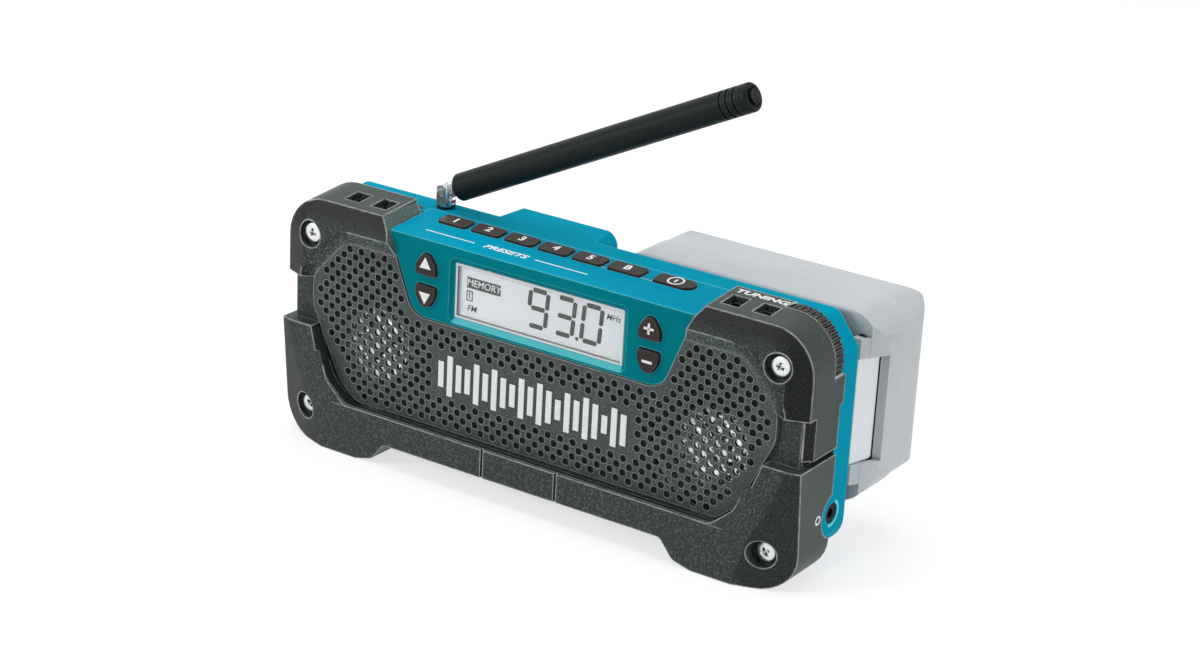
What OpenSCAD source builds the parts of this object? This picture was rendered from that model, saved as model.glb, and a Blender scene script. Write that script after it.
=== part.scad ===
// Compact jobsite radio with a slide-on battery pack.
// Every piece is drawn where it sits in the finished radio. Inside the file, X runs to the
// right, Y to the rear and Z up, with Y = 0 on the front of the speaker grille; place()
// moves the whole to an origin at the middle of its footprint.

/* [Body] */
// Width over the side bumpers
body_w = 237; // [230:1:250]
// Height of the front edge of the button deck
deck_h = 95.3; // [93:0.5:100]
// Depth from the face of the grille to the rear wall
body_d = 34.5; // [33:0.5:44]
// Rise of the button deck towards the rear, in degrees
deck_slope = 5; // [3:0.5:6]
// Width of the slanting cut at the rear housing's upper corners
shell_cut_w = 9.5; // [7:0.5:12]
// Height of that cut
shell_cut_h = 12.5; // [10:0.5:15]
// Thickness of the housing walls
wall = 2.4; // [1.8:0.1:3]
// Gap between pieces that are fixed together
fit = 0.2; // [0.1:0.05:0.25]
// Gap round pieces that move
run = 0.3; // [0.25:0.05:0.4]
// Height of the lower edge of the teal shell above the floor
shell_low = 7; // [6:0.5:9]

/* [Bumpers] */
// Thickness of the bumpers' side and top walls
bumper_t = 3.2; // [2.6:0.1:3.6]
// Outer corner radius of the upper bumpers
bumper_r = 17; // [14:1:20]
// Height of the upper bumpers above the button deck
bumper_rise = 4.4; // [3.5:0.1:6]
// Distance of the upper bumpers' inner ends from the middle, at the top
bumper_in = 72.7; // [71.5:0.1:76]
// How far the upper bumpers stand proud of the grille
upper_proud = 3; // [2:0.5:4]
// How far the lower bumper stands proud of the grille
lower_proud = 6.5; // [5:0.5:8]
// Depth of the bumpers' side walls behind the grille's face
bumper_d = 22; // [21:0.5:26]
// Distance of the upper bumpers' front lower ends below the deck's front edge
upper_drop = 28.1; // [25.5:0.1:31]
// Height of the groove between the upper and lower bumpers
split_h = 49.8; // [46:0.5:54]
// Width of that groove
split_gap = 2.4; // [1.5:0.1:3.5]
// Height of the underside of the lower bumper's middle bar
bar_low = 9.2; // [7:0.5:11]
// Height of the top of the middle bar
bar_top = 20.8; // [18:0.5:22]
// Distance of the feet's inner ends from the middle
foot_in = 64; // [58:1:72]
// Radius of the lower outer corners
foot_r = 15; // [12:1:18]
// Half width of the plate in the middle of the bar
badge_half = 17; // [12:1:24]
// Thickness of the lip round the lower bumper's opening
lip_front = 1.6; // [1.2:0.1:2.4]
// Depth of the groove behind that lip
lip_groove = 2.2; // [1:0.1:3]
// Length of the tabs that reach over the shell's sides
tab_l = 2.2; // [1:0.2:4]
// Height of those tabs
tab_h = 11.6; // [8:0.2:14]

/* [Strap slots] */
// Width of a strap slot
slot_w = 7.2; // [6:0.2:8]
// Length of a strap slot, front to back
slot_l = 8.4; // [7:0.2:10]
// Distance of the inner slot's middle from the bumper's inner end
slot_in = 6.6; // [6.4:0.1:9]
// Distance of the slots behind the grille's face
slot_y = 6.3; // [5.5:0.1:7]
// Distance between the two slots of a bumper
slot_pitch = 13; // [11:0.5:14]

/* [Grille] */
// Thickness of the grille
grille_t = 1.6; // [1.2:0.1:2]
// Diameter of its holes
hole_d = 3; // [2.4:0.1:3.2]
// Distance between neighbouring holes
hole_pitch = 4; // [3.9:0.1:5]
// Distance of the grille's ends from the radio's sides
grille_in = 12.8; // [11:0.1:15]
// Height of the grille's lower edge
grille_low = 20.8; // [20:0.2:22]
// Distance of the grille's upper edge below the deck's front edge
grille_drop = 10; // [8:0.2:11]
// Half width of the plain pad in the grille
pad_half = 49.5; // [40:0.5:60]
// Height of the middle of the pad
pad_z = 43.4; // [40:0.5:46]
// Height of the pad
pad_h = 23.5; // [18:0.5:26]

/* [Control panel] */
// Half width of the panel's top edge
panel_top = 68.9; // [67:0.1:70]
// Half width of the panel's lower edge
panel_bottom = 56.7; // [56:0.1:60]
// Height of the panel's face
panel_h = 31.4; // [30.5:0.1:33]
// Set-back of the panel's face behind the grille's face
panel_y = 0.8; // [0.6:0.1:1.2]
// Depth of the panel's deck, front to back
deck_d = 25; // [24:0.5:27]

/* [Display] */
// Width of the display glass
lcd_w = 76.8; // [70:0.2:80]
// Height of the display glass
lcd_h = 22.2; // [20:0.2:23]
// Distance of the display's middle below the deck's front edge
lcd_drop = 17.3; // [16.6:0.1:18]
// Width of the sloping frame round the display
lcd_slope = 2; // [1:0.1:2.2]
// Set-back of the display glass behind the panel's face
lcd_set = 1.4; // [1:0.1:1.6]

/* [Keys] */
// Width of a front key
key_w = 9.2; // [8.4:0.2:10]
// Height of a front key
key_h = 8.8; // [8:0.2:9.4]
// Distance of the front keys from the middle
key_x = 50.6; // [50:0.1:52]
// Distance between the middles of an upper and a lower front key
key_pitch = 13; // [12.6:0.1:14]
// Height that a front key stands above the panel
front_proud = 1.6; // [1:0.1:2]
// Height that a deck key stands above the deck
key_proud = 1; // [0.9:0.1:1.4]
// Travel of a key
key_travel = 0.8; // [0.5:0.1:0.9]
// Width of a preset key
preset_w = 13.2; // [12:0.2:14]
// Depth of the deck keys, front to back
preset_d = 7.2; // [6:0.2:8]
// Distance between neighbouring preset keys
preset_pitch = 15.6; // [15:0.1:16.5]
// Position of the first preset key, left of the middle
preset_x = 51.9; // [51:0.1:53]
// Distance of the deck keys' middle line from the deck's front edge
key_row = 19.2; // [18.2:0.1:20.2]
// Width of the power key
power_w = 16.6; // [14:0.2:17]
// Distance of the power key from the middle
power_x = 48.2; // [47:0.1:50]

/* [Speakers] */
// Outer diameter of a speaker
spk_d = 54; // [48:1:56]
// Distance of the speakers' axes from the radio's sides
spk_in = 41.5; // [39.5:0.5:43.5]
// Height of the speakers' axes
spk_z = 44; // [43:0.5:46]
// Depth of a speaker behind its flange
spk_deep = 19; // [16:0.5:21]

/* [Tuning wheel] */
// Radius of the tuning wheel
wheel_r = 17.2; // [16:0.1:17.6]
// Width of the tuning wheel
wheel_w = 5.4; // [4:0.2:6]
// Number of ridges round the wheel
wheel_ridges = 48; // [24:4:60]
// Radius of the encoder shaft
encoder_r = 3; // [2.5:0.1:3.5]

/* [Antenna] */
// Distance of the antenna from the middle
ant_x = 65; // [62:0.5:66]
// Distance of the antenna behind the grille's face
ant_y = 30.6; // [30:0.2:31]
// Length from the hinge pin to the tip
ant_l = 150; // [120:1:160]
// Diameter of the antenna sleeve
ant_d = 11; // [8:0.2:11.4]
// Angle of the antenna above the deck's side-to-side line
ant_lift = 26.1; // [26:1:60]
// Height of the hinge pin above the deck
ant_pivot = 6.1; // [5.9:0.1:8]
// Diameter of the hinge pin
ant_pin = 2.4; // [2:0.1:3]

/* [Sockets] */
// Diameter of the audio socket
jack_d = 3.6; // [3.5:0.05:3.8]
// Depth of the audio socket
jack_l = 14; // [12:0.5:16]
// Height of the audio socket
jack_z = 24; // [22:0.5:28]
// Distance of the audio socket behind the grille's face
jack_y = 24.5; // [24:0.5:26]

/* [Rear block] */
// Depth of the block behind the rear wall
hump_d = 12; // [10:0.5:14]
// Distance of the block's outer side from the middle
hump_out = 42; // [38:1:48]
// Distance between the block's inner side and the end of the battery pack
block_gap = 5; // [4:0.5:7]
// Height of the ledge under the battery pack
ledge_top = 20.5; // [18:0.5:22]
// Height of the rear feet
pad_foot_h = 6.4; // [5:0.2:6.4]

/* [Battery pack] */
// Length of the pack
pack_l = 114; // [108:1:118]
// Height of the pack
pack_h = 75; // [72:0.5:76]
// Depth of the pack behind its rails
pack_d = 42.5; // [40:0.5:48]
// How far the pack stands out past the radio's side
pack_over = 5.5; // [4:0.5:8]
// Height of the middle of the pack
pack_z = 60.2; // [60:0.5:64]
// Corner radius of the pack, seen from behind
pack_r = 14; // [8:0.5:16]
// Radius of the pack's rear edges
pack_edge = 9; // [6:0.5:12]
// How much smaller the rear half of the case is than the front half, all round
pack_step = 0.5; // [0.2:0.1:0.8]
// Wall of the pack's case
pack_wall = 2; // [1.6:0.1:2.4]
// Diameter of a cell
cell_d = 18.4; // [18:0.1:18.6]
// Length of a cell
cell_l = 65; // [64:0.5:66]
// Number of cells
cells = 5; // [3:1:5]
// Distance between the lips of the radio's rails
rail_gap = 45; // [40:0.5:50]
// Length of the rails
rail_l = 62; // [50:1:70]
// Travel of the release button
release_travel = 3; // [2:0.5:3]

/* [Fasteners] */
// Diameter of the front screws' heads
screw_head = 8.6; // [7:0.2:9]
// Diameter of the front screws' shanks
screw_d = 4; // [3:0.1:4.2]
// Diameter of the wells for the front screws
well_d = 10.8; // [10:0.2:12]
// Distance of the front screws from the radio's sides
screw_in = 12.9; // [11.5:0.1:13.5]
// Distance of the upper front screws below the deck's front edge
screw_drop = 9.6; // [8.5:0.1:11]
// Height of the lower front screws
screw_lo = 14.2; // [13:0.1:15]
// Diameter of the rear screws' shanks
rear_screw_d = 3; // [2.5:0.1:3.5]

/* [Hidden] */

$fn = 48;
presets = 5;
e = 0.01;                                   // overshoot of a cut past a face
half = body_w / 2;
tan_deck = tan(deck_slope);

// Places that follow the sides and the deck's front edge
grille_half = half - grille_in;
grille_top = deck_h - grille_drop;
panel_low = deck_h - panel_h;
lcd_z = deck_h - lcd_drop;
upper_low = deck_h - upper_drop;
screw_x = half - screw_in;
screw_hi = deck_h - screw_drop;
spk_x = half - spk_in;
slot_x = bumper_in + slot_in;

// Stations from front to back
frame_y = grille_t;                         // front face of the front frame
frame_t = 2.6;
shell_y = frame_y + frame_t;                // front edge of the rear housing
inner_back = body_d - wall;                 // inner face of the rear wall
hump_y = body_d + hump_d;                   // rear face of the rear block
pack_y = body_d + 4;                        // face of the pack towards the radio
pack_back = pack_y + pack_d;
pack_seam = pack_y + pack_d / 2;            // parting line of the pack's case

// The rear housing under the bumpers: in from the sides, down from the deck, up from the bar
skirt_in = bumper_t + fit;
skirt_down = wall;
skirt_low = bar_low + bumper_t + fit;
skirt_r = bumper_r - bumper_t - fit;
strip_in = 1.1;                             // the bare strip behind the bumpers
strip_y = bumper_d + fit;
split_lo = split_h - split_gap / 2;
split_hi = split_h + split_gap / 2;
front_edge = 0.9;                           // station where the upper bumpers reach full size
upper_chamfer = 9.2;                        // width of the slope round the upper bumpers' faces
inner_bevel = 5.5;                          // width of the slope between bumper and grille

function deck_z(y) = deck_h + (y - panel_y) * tan_deck;
function panel_edge(z) = panel_bottom + (z - panel_low) * (panel_top - panel_bottom) / (deck_h - panel_low);

// Panel, display, keys and boards
panel_t = 2.4;                              // thickness of the control panel
keys_z = lcd_z + 1.3;                       // middle of a pair of front keys
key_gap = key_pitch - key_h;                // strip of panel between the keys of a pair
key_lip = 1;                                // width of the lip that holds a key in
key_in = panel_t + run;                     // depth of a key's lip below the panel's face
key_end = key_in + 2.1;                     // depth of the end of a key's stem
switch_gap = key_travel + 0.1;
switch_t = 2.6;
lens_t = panel_t - lcd_set;
board_t = 1.6;
board_y = panel_y + 8.6;                    // front face of the front board
deck_board = key_end + switch_gap + switch_t;    // depth of the key board below the deck
band_w = preset_w + 1.6;
band_x = preset_pitch * 5 - preset_x + 0.9 + fit / 2;
post_y = 15.6;                              // rear end of the posts for the front screws
post_r = 4.4;
main_y = 18.2;                              // front face of the main board
jack_boss = 8.6;                            // radius of the round boss for the audio socket
board_half = spk_x - 25.5;                  // half width of the main board
board_low = 19.5;
board_high = 62;
rear_screw_places = [for (x = [4 - board_half, board_half - 4],
    z = [board_low + 4.5, board_high - 5]) [x, z]];
seat_y = 0.2;                               // face under the front screws' heads
pack_out = half + pack_over;                // outer end of the pack
pack_in = pack_out - pack_l;                // end of the pack beside the rear block
block_in = pack_in - block_gap;             // inner side of the rear block
block_top = deck_z(hump_y) + 0.2;           // just over the deck's plane, which cuts the block
hollow_out = hump_out - 4;                  // outer end of the block's hollow
block_slope = 2.8;                          // set-in of the block's outer side at its rear face
ledge_low = 6;
ledge_out = pack_out - 14;                  // outer end of the ledge under the pack
rear_feet_x = [11 - hump_out, ledge_out - 11];

// Tuning wheel, on the axis of the right upper bumper's corner
wheel_x = half - bumper_r;
wheel_y = bumper_d - wheel_w;               // front face of the wheel
wheel_z = deck_z(bumper_d - wheel_w / 2) + bumper_rise - bumper_r;
encoder_y = strip_y + 1.4;                  // front face of the encoder

// Antenna
pin_z = deck_z(ant_y) + ant_pivot;
collar_z = deck_z(ant_y) + 1.1;             // top of the fixed collar
sleeve_from = 5.2;                          // distance of the sleeve from the hinge pin
cap_l = 4;
tongue_t = 3.2;
ear_t = 1.5;
ear_r = 3.3;

// Battery pack and its rails
tongue_y = body_d + 0.4;                    // face of the pack's tongue
lip_y = body_d + 2.2;                       // inner face of the rails' lips
lip_t = 1.4;
lip_w = 2.8;
rail_t = 2.6;
rail_x = pack_in + 18;                      // inner end of the rails
cell_pitch = cell_d + 0.8;
cell_y = pack_back - pack_wall - cell_d / 2 - 3;
cells_x = pack_out - pack_l / 2 - 2;        // middle of the row of cells
holder_z = 18;                              // half distance between the plates of the cell holder
release_h = 41;
release_in = pack_out - 11;                 // inner face of the release button
release_out = pack_out - 4;                 // outer face of the release button
release_front = body_d + 0.5;               // front face of the release button
release_back = pack_y + 8.1;                // rear face of the release button
blade_pitch = 12;
blade_z = [-blade_pitch, 0, blade_pitch];   // heights of the contact blades about the pack's middle
cut_x = 3.7;                                // slant at the pack's front outer corner
cut_y = 7.1;
pack_boss_r = 2.6;
pack_boss_z = pack_h / 2 - 10.5;
pack_bosses = [for (x = [pack_in + pack_wall + 2.7, pack_out - 7.5], z = [-pack_boss_z, pack_boss_z]) [x, z]];

// Footprint of the whole radio, for the origin
mid_x = (pack_out - half) / 2;
mid_y = (pack_back - lower_proud) / 2;

module place() { translate([-mid_x, -mid_y, 0]) children(); }
module along_y(y0, y1) { translate([0, y1, 0]) rotate([90, 0, 0]) linear_extrude(y1 - y0) children(); }
module along_x(x0, x1) { translate([x0, 0, 0]) rotate([90, 0, 90]) linear_extrude(x1 - x0) children(); }
module box(from, to) { translate(from) cube(to - from); }
module rod_y(x, z, r, y0, y1) { translate([x, y1, z]) rotate([90, 0, 0]) cylinder(h = y1 - y0, r = r); }
module rod_x(y, z, r, x0, x1) { translate([x0, y, z]) rotate([0, 90, 0]) cylinder(h = x1 - x0, r = r); }
module both_sides() { children(); mirror([1, 0, 0]) children(); }
// The deck's own frame: X along its front edge, Y up the slope, Z out of it
module on_deck() { translate([0, panel_y, deck_h]) rotate([deck_slope, 0, 0]) children(); }

// Outlines with rounded corners: each point is [x, z, radius]
function unit(v) = v / norm(v);
function fillet(a, b, c, n) =
    let(p = [b.x, b.y], u = unit([a.x - b.x, a.y - b.y]), v = unit([c.x - b.x, c.y - b.y]),
        turn = acos(u * v) / 2, centre = p + unit(u + v) * b.z / sin(turn),
        p0 = p + u * b.z / tan(turn), p1 = p + v * b.z / tan(turn),
        a0 = atan2(p0.y - centre.y, p0.x - centre.x),
        a1 = atan2(p1.y - centre.y, p1.x - centre.x),
        sweep = (a1 - a0 + 540) % 360 - 180)
    [for (i = [0:n]) centre + b.z * [cos(a0 + sweep * i / n), sin(a0 + sweep * i / n)]];
function rounded(pts, n = 8) =
    [for (i = [0:len(pts) - 1])
        let(b = pts[i], a = pts[(i + len(pts) - 1) % len(pts)], c = pts[(i + 1) % len(pts)])
        each b.z > 0 ? fillet(a, b, c, n) : [[b.x, b.y]]];
function mirrored(pts) = concat(pts, [for (i = [len(pts) - 1:-1:0]) [-pts[i].x, pts[i].y, pts[i].z]]);
// The outline moved outwards by d, for one whose corners all turn the same way
function grown(pts, d) =
    [for (i = [0:len(pts) - 1])
        let(b = pts[i], a = pts[(i + len(pts) - 1) % len(pts)], c = pts[(i + 1) % len(pts)],
            u = unit([a.x - b.x, a.y - b.y]), v = unit([c.x - b.x, c.y - b.y]),
            p = [b.x, b.y] - unit(u + v) * d / sin(acos(u * v) / 2))
        [p.x, p.y, b.z > 0 ? b.z + d : 0]];
module outline(pts) { polygon(rounded(pts)); }
module plate(x0, x1, z0, z1, r) { outline([[x1, z0, r], [x1, z1, r], [x0, z1, r], [x0, z0, r]]); }
// Solid between outline a at station y0 and outline b at station y1
module loft(a, y0, b, y1) {
    n = len(a);
    polyhedron(
        points = concat([for (p = a) [p.x, y0, p.y]], [for (p = b) [p.x, y1, p.y]]),
        faces = concat([[for (i = [n - 1:-1:0]) i]], [[for (i = [0:n - 1]) n + i]],
                       [for (i = [0:n - 1]) [i, (i + 1) % n, n + (i + 1) % n, n + i]]));
}

grille_pts = mirrored([
    [grille_half - 22.2, grille_low, 5],
    [grille_half - 13.9, grille_low + 6.7, 8],
    [grille_half, grille_top - 28.8, 14],
    [grille_half, grille_top - 17.3, 10],
    [grille_half - 15.7, grille_top, 12]]);
panel_pts = mirrored([[panel_bottom, panel_low, 9], [panel_top, deck_h, 0.8]]);
upper_pts = mirrored([[half, 10, 0], [half, deck_z(front_edge) + bumper_rise / cos(deck_slope), bumper_r]]);

// A block with the deck's slope on top and rounded corners, in from the sides by inset
module shell_block(inset, down, low, y0, y1, r, r_low) {
    w = half - inset;
    intersection() {
        on_deck() along_y(-50, 80) outline([[w, -150, 0], [w, -down, r], [-w, -down, r], [-w, -150, 0]]);
        along_y(y0, y1) outline([[w, low, r_low], [w, 150, 0], [-w, 150, 0], [-w, low, r_low]]);
    }
}
// The bare strip of the shell behind the bumpers, with its upper corners cut off at a slant
module shell_strip() {
    w = half - strip_in;
    intersection() {
        on_deck() along_y(-50, 80) outline(mirrored([[w, -150, 0], [w, -shell_cut_h, 5],
            [w - shell_cut_w, 0, 5]]));
        along_y(strip_y, body_d) plate(-w, w, shell_low, 150, foot_r - 3);
    }
}
module screw_places(hi = true, lo = true) {
    for (side = [-1, 1]) {
        if (hi) translate([side * screw_x, 0, screw_hi]) children();
        if (lo) translate([side * screw_x, 0, screw_lo]) children();
    }
}

// ---- Housing ----

module front_frame() {
    color([0.2, 0.21, 0.2]) place() difference() {
        union() {
            difference() {
                shell_block(skirt_in, skirt_down, skirt_low, frame_y, shell_y, skirt_r, foot_r - skirt_in);
                along_y(frame_y - e, shell_y + e) outline(grown(panel_pts, fit));
                for (side = [-1, 1]) rod_y(side * spk_x, spk_z, spk_d / 2 - 2.5, 0, shell_y + e);
            }
            screw_places() rod_y(0, 0, post_r, frame_y, post_y);
            for (p = rear_screw_places) rod_y(p.x, p.y, 3.4, shell_y - 1, main_y);
        }
        screw_places() rod_y(0, 0, screw_d / 2 + 0.05, -e, post_y - 1);
        for (p = rear_screw_places) rod_y(p.x, p.y, rear_screw_d / 2 + 0.05, shell_y + 4, main_y + e);
    }
}

module rear_block() {
    difference() {
        intersection() {
            union() {
                along_y(body_d - 1, hump_y) outline([
                    [block_in, ledge_top - 1, 0], [block_in, block_top, 6], [-hump_out, block_top, 0],
                        [-hump_out, ledge_top - 1, 0]]);
                along_y(body_d - 1, hump_y) outline([
                    [ledge_out, ledge_low, 4], [ledge_out, ledge_top, 1], [-hump_out, ledge_top, 0],
                        [-hump_out, ledge_low, 4]]);
            }
            on_deck() box([-half, 0, -150], [half, 80, 0]);
            linear_extrude(200) polygon([[-hump_out, 0], [pack_out, 0], [pack_out, hump_y],
                                         [block_slope - hump_out, hump_y], [-hump_out, body_d]]);
        }
        // Hollow, open to the inside of the housing
        along_y(0, hump_y - wall) plate(-hollow_out, block_in - wall, ledge_top, deck_h - 1.3, 3);
        along_y(0, hump_y - wall) plate(-hollow_out, ledge_out - wall, ledge_low + wall, ledge_top - wall, 2);
    }
}

// L-shaped rails on the rear wall; the pack's tongue slides in between them
module rails() {
    for (side = [-1, 1]) translate([0, 0, pack_z]) {
        z0 = rail_gap / 2;
        box([rail_x, body_d - 1, side > 0 ? z0 + lip_w : -z0 - lip_w - rail_t],
            [rail_x + rail_l, lip_y + lip_t, side > 0 ? z0 + lip_w + rail_t : -z0 - lip_w]);
        box([rail_x, lip_y, side > 0 ? z0 : -z0 - lip_w - 1],
            [rail_x + rail_l, lip_y + lip_t, side > 0 ? z0 + lip_w + 1 : -z0]);
    }
    box([rail_x - 2.4, body_d - 1, pack_z - rail_gap / 2 - lip_w - rail_t],
        [rail_x - 0.2, lip_y + lip_t, pack_z - 17.5]);
    box([rail_x - 2.4, body_d - 1, pack_z + 17.5],
        [rail_x - 0.2, lip_y + lip_t, pack_z + rail_gap / 2 + lip_w + rail_t]);
}

module rear_housing() {
    color([0, 0.6, 0.7]) place() difference() {
        union() {
            difference() {
                union() {
                    shell_block(skirt_in, skirt_down, skirt_low, shell_y, body_d, skirt_r, foot_r - skirt_in);
                    shell_strip();
                    rod_x(jack_y, jack_z, jack_boss, half - skirt_in - 1, half - strip_in);
                }
                shell_block(skirt_in + wall, skirt_down + wall, skirt_low + wall, shell_y - e, inner_back,
                            skirt_r - wall, foot_r - skirt_in - wall);
                on_deck() {
                    box([-panel_top - fit, -20, -panel_t], [panel_top + fit, deck_d + fit, 5]);
                    box([4 - panel_top, -20, -20], [panel_top - 4, deck_d - 0.9, 5]);
                }
                along_y(0, body_d + e) plate(-hollow_out, block_in - wall, ledge_top, deck_h - 7.3, 3);
                rod_y(wheel_x, wheel_z, wheel_r + run, wheel_y - run, strip_y);
                screw_places() rod_y(0, 0, post_r + fit, shell_y - e, post_y + 0.5);
                // Room for a strap under the bridge between the slots
                both_sides() on_deck() box([slot_x - slot_w / 2 - 1, 5, -skirt_down - 1.4],
                                           [slot_x + slot_pitch + slot_w / 2 + 1, 15, 1]);
            }
            rear_block();
            rails();
            for (p = rear_screw_places) rod_y(p.x, p.y, 3.8, main_y + board_t, inner_back + 1);
            translate([-ant_x, ant_y, deck_z(ant_y) - 14]) cylinder(h = 11, r = 3.6);
        }
        for (p = rear_screw_places) {
            rod_y(p.x, p.y, rear_screw_d / 2 + 0.1, main_y, body_d + e);
            rod_y(p.x, p.y, rear_screw_d + 0.1, inner_back - 1, body_d + e);
        }
        rod_x(jack_y, jack_z, 4.1, half - 12, half);
        rod_x(jack_y, jack_z, 6.1, half - 12, half - skirt_in - wall);
        translate([-ant_x, ant_y, deck_z(ant_y) - 11]) cylinder(h = 30, r = 2.1);
        for (z = blade_z) box([pack_in + 7, inner_back - e, pack_z + z - 0.6],
            [pack_in + 9, body_d + e, pack_z + z + 0.6]);
        for (x = rear_feet_x) translate([x, hump_y - 6.5, ledge_low - e])
            cylinder(h = pad_foot_h - ledge_low + e, r = 5.1);
    }
}

module rear_feet() {
    color([0.15, 0.15, 0.15]) place()
        for (x = rear_feet_x) translate([x, hump_y - 6.5, 0]) cylinder(h = pad_foot_h, r = 5);
}

lcd_pts = mirrored([[lcd_w / 2, lcd_z - lcd_h / 2, 1], [lcd_w / 2, lcd_z + lcd_h / 2, 1]]);
module control_panel() {
    color([0, 0.55, 0.63]) place() difference() {
        union() {
            along_y(panel_y, panel_y + panel_t) outline(panel_pts);
            on_deck() box([-panel_top, 0, -panel_t], [panel_top, deck_d, 0]);
            both_sides() {
                rod_y(key_x + 9.4, lcd_z + 7, 2, panel_y + 1, board_y);
                on_deck() for (y = [key_row - 5.2, key_row + 1.2])
                    translate([panel_top - 7.4, y, -deck_board]) cylinder(h = deck_board - 1, r = 1.8);
            }
        }
        along_y(0, 20) outline(lcd_pts);
        loft(rounded(grown(lcd_pts, lcd_slope + 0.1)), panel_y - 0.1, rounded(lcd_pts), panel_y + lcd_set);
        for (side = [-1, 1]) {
            along_y(0, 20) front_key_outline(side, 1, run);
            along_y(0, 20) front_key_outline(side, -1, run);
        }
        on_deck() translate([0, 0, -panel_t - 1]) linear_extrude(5) {
            for (i = [1:presets]) deck_key_outline(preset_pitch * (i - 1) - preset_x, preset_w, 1.4, run);
            deck_key_outline(band_x, band_w, 1.4, run);
            deck_key_outline(power_x, power_w, 3.5, run);
        }
    }
}

// ---- Bumpers and grille ----

// Where the right upper bumper may be: beside the control panel, above its lower end
// at the front, and down to the groove at the side
module upper_region() {
    polygon([[bumper_in, 150], [bumper_in, deck_z(front_edge) + bumper_rise],
             [panel_edge(deck_h) + 0.3, deck_h - 0.3], [panel_edge(upper_low) + 0.3, upper_low],
             [half - bumper_t, upper_low], [half - bumper_t, split_hi], [half + 5, split_hi],
                 [half + 5, 150]]);
}

module upper_bumper(wheel) {
    difference() {
        intersection() {
            union() {
                loft(rounded(grown(upper_pts, -upper_chamfer)), -upper_proud, rounded(upper_pts), front_edge);
                shell_block(0, -bumper_rise, 10, front_edge, bumper_d, bumper_r, 0);
            }
            along_y(-20, 60) upper_region();
        }
        loft(rounded(grown(grille_pts, inner_bevel)), -upper_proud - e, rounded(grown(grille_pts, fit)), 0.2);
        along_y(0.1, frame_y + e) outline(grown(grille_pts, fit));
        // Room for the housing, and above it for a strap
        shell_block(bumper_t, skirt_down - fit, -50, frame_y, bumper_d + 1, skirt_r + fit, 0);
        intersection() {
            shell_block(bumper_t, bumper_t - bumper_rise, -50, frame_y + 1, bumper_d + 1,
                bumper_r - bumper_t, 0);
            box([slot_x - slot_w / 2 - 0.8, 0, upper_low], [half, bumper_d + 1, 150]);
        }
        for (x = [slot_x, slot_x + slot_pitch])
            translate([x - slot_w / 2, slot_y, deck_h - 5.3]) cube([slot_w, slot_l, 40]);
        translate([screw_x, 0, screw_hi]) {
            rod_y(0, 0, well_d / 2, -20, seat_y);
            rod_y(0, 0, screw_d / 2 + 0.2, -1, frame_y + e);
        }
        translate([0, 0, split_hi - e]) linear_extrude(upper_low - split_hi)
            polygon([[half - bumper_t - 1, -20], [half - bumper_t - 1, 2], [half - bumper_t, 2],
                [half + 1, 6.7], [half + 9, 6.7], [half + 9, -20]]);
        on_deck() box([0, 0, -30], [panel_top + fit, 80, 0]);
        if (wheel) rod_y(wheel_x, wheel_z, wheel_r + run, wheel_y - run, bumper_d + 1);
    }
    // Tab that reaches over the side of the shell
    box([half + fit - strip_in, bumper_d - 1, upper_low + 0.3],
        [half, bumper_d + tab_l, upper_low + 0.3 + tab_h]);
}
module upper_bumper_left() { color([0.28, 0.29, 0.28]) place() mirror([1, 0, 0]) upper_bumper(false); }
module upper_bumper_right() { color([0.28, 0.29, 0.28]) place() upper_bumper(true); }

lip_pts = mirrored([[grille_half - 21.2, bar_top, 6], [grille_half - 11.7, bar_top + 8.2, 8],
                    [grille_half - 3.5, split_h + 2.2, 0], [grille_half - 3.5, deck_h, 0]]);
module lower_bumper() {
    color([0.28, 0.29, 0.28]) place() difference() {
        along_y(-lower_proud, bumper_d) outline(mirrored([
            [foot_in, bar_low, 2], [foot_in + 6, 2, 4], [foot_in + 14, 0, 6], [half, 0, foot_r],
                [half, split_lo, 0]]));
        along_y(-20, frame_y) outline(lip_pts);
        along_y(lip_front - lower_proud, frame_y) outline(grown(lip_pts, lip_groove));
        along_y(0, frame_y + e) outline(grown(grille_pts, fit));
        shell_block(bumper_t, skirt_down, skirt_low - fit, frame_y, bumper_d + 1, skirt_r, foot_r - bumper_t);
        screw_places(hi = false) {
            rod_y(0, 0, post_r + fit, frame_y, post_y + 0.5);
            rod_y(0, 0, well_d / 2, -20, seat_y);
            rod_y(0, 0, screw_d / 2 + 0.2, -1, frame_y + e);
        }
        // The face leans back above the bar, and each corner is a slanted facet
        translate([-200, -lower_proud, bar_top]) rotate([-4.8, 0, 0]) translate([0, -20, 0])
            cube([400, 20, 60]);
        both_sides() {
            translate([half - 4.5, 2.3 - lower_proud, split_lo - 1.2]) rotate([4.8, 0, 19])
                translate([-60, -30, -80]) cube([90, 30, 120]);
            along_y(frame_y + 1, bumper_d + 1) plate(foot_in + 9, half - 21.5, 3, bar_low + 0.2, 2);
            box([badge_half - 0.5, -lower_proud - 1, bar_low - 1],
                [badge_half + 0.5, 0.8 - lower_proud, bar_top + 1]);
        }
        rod_x(jack_y, jack_z, jack_boss + 0.3, half - bumper_t - 4, half + 1);
    }
}

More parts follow.
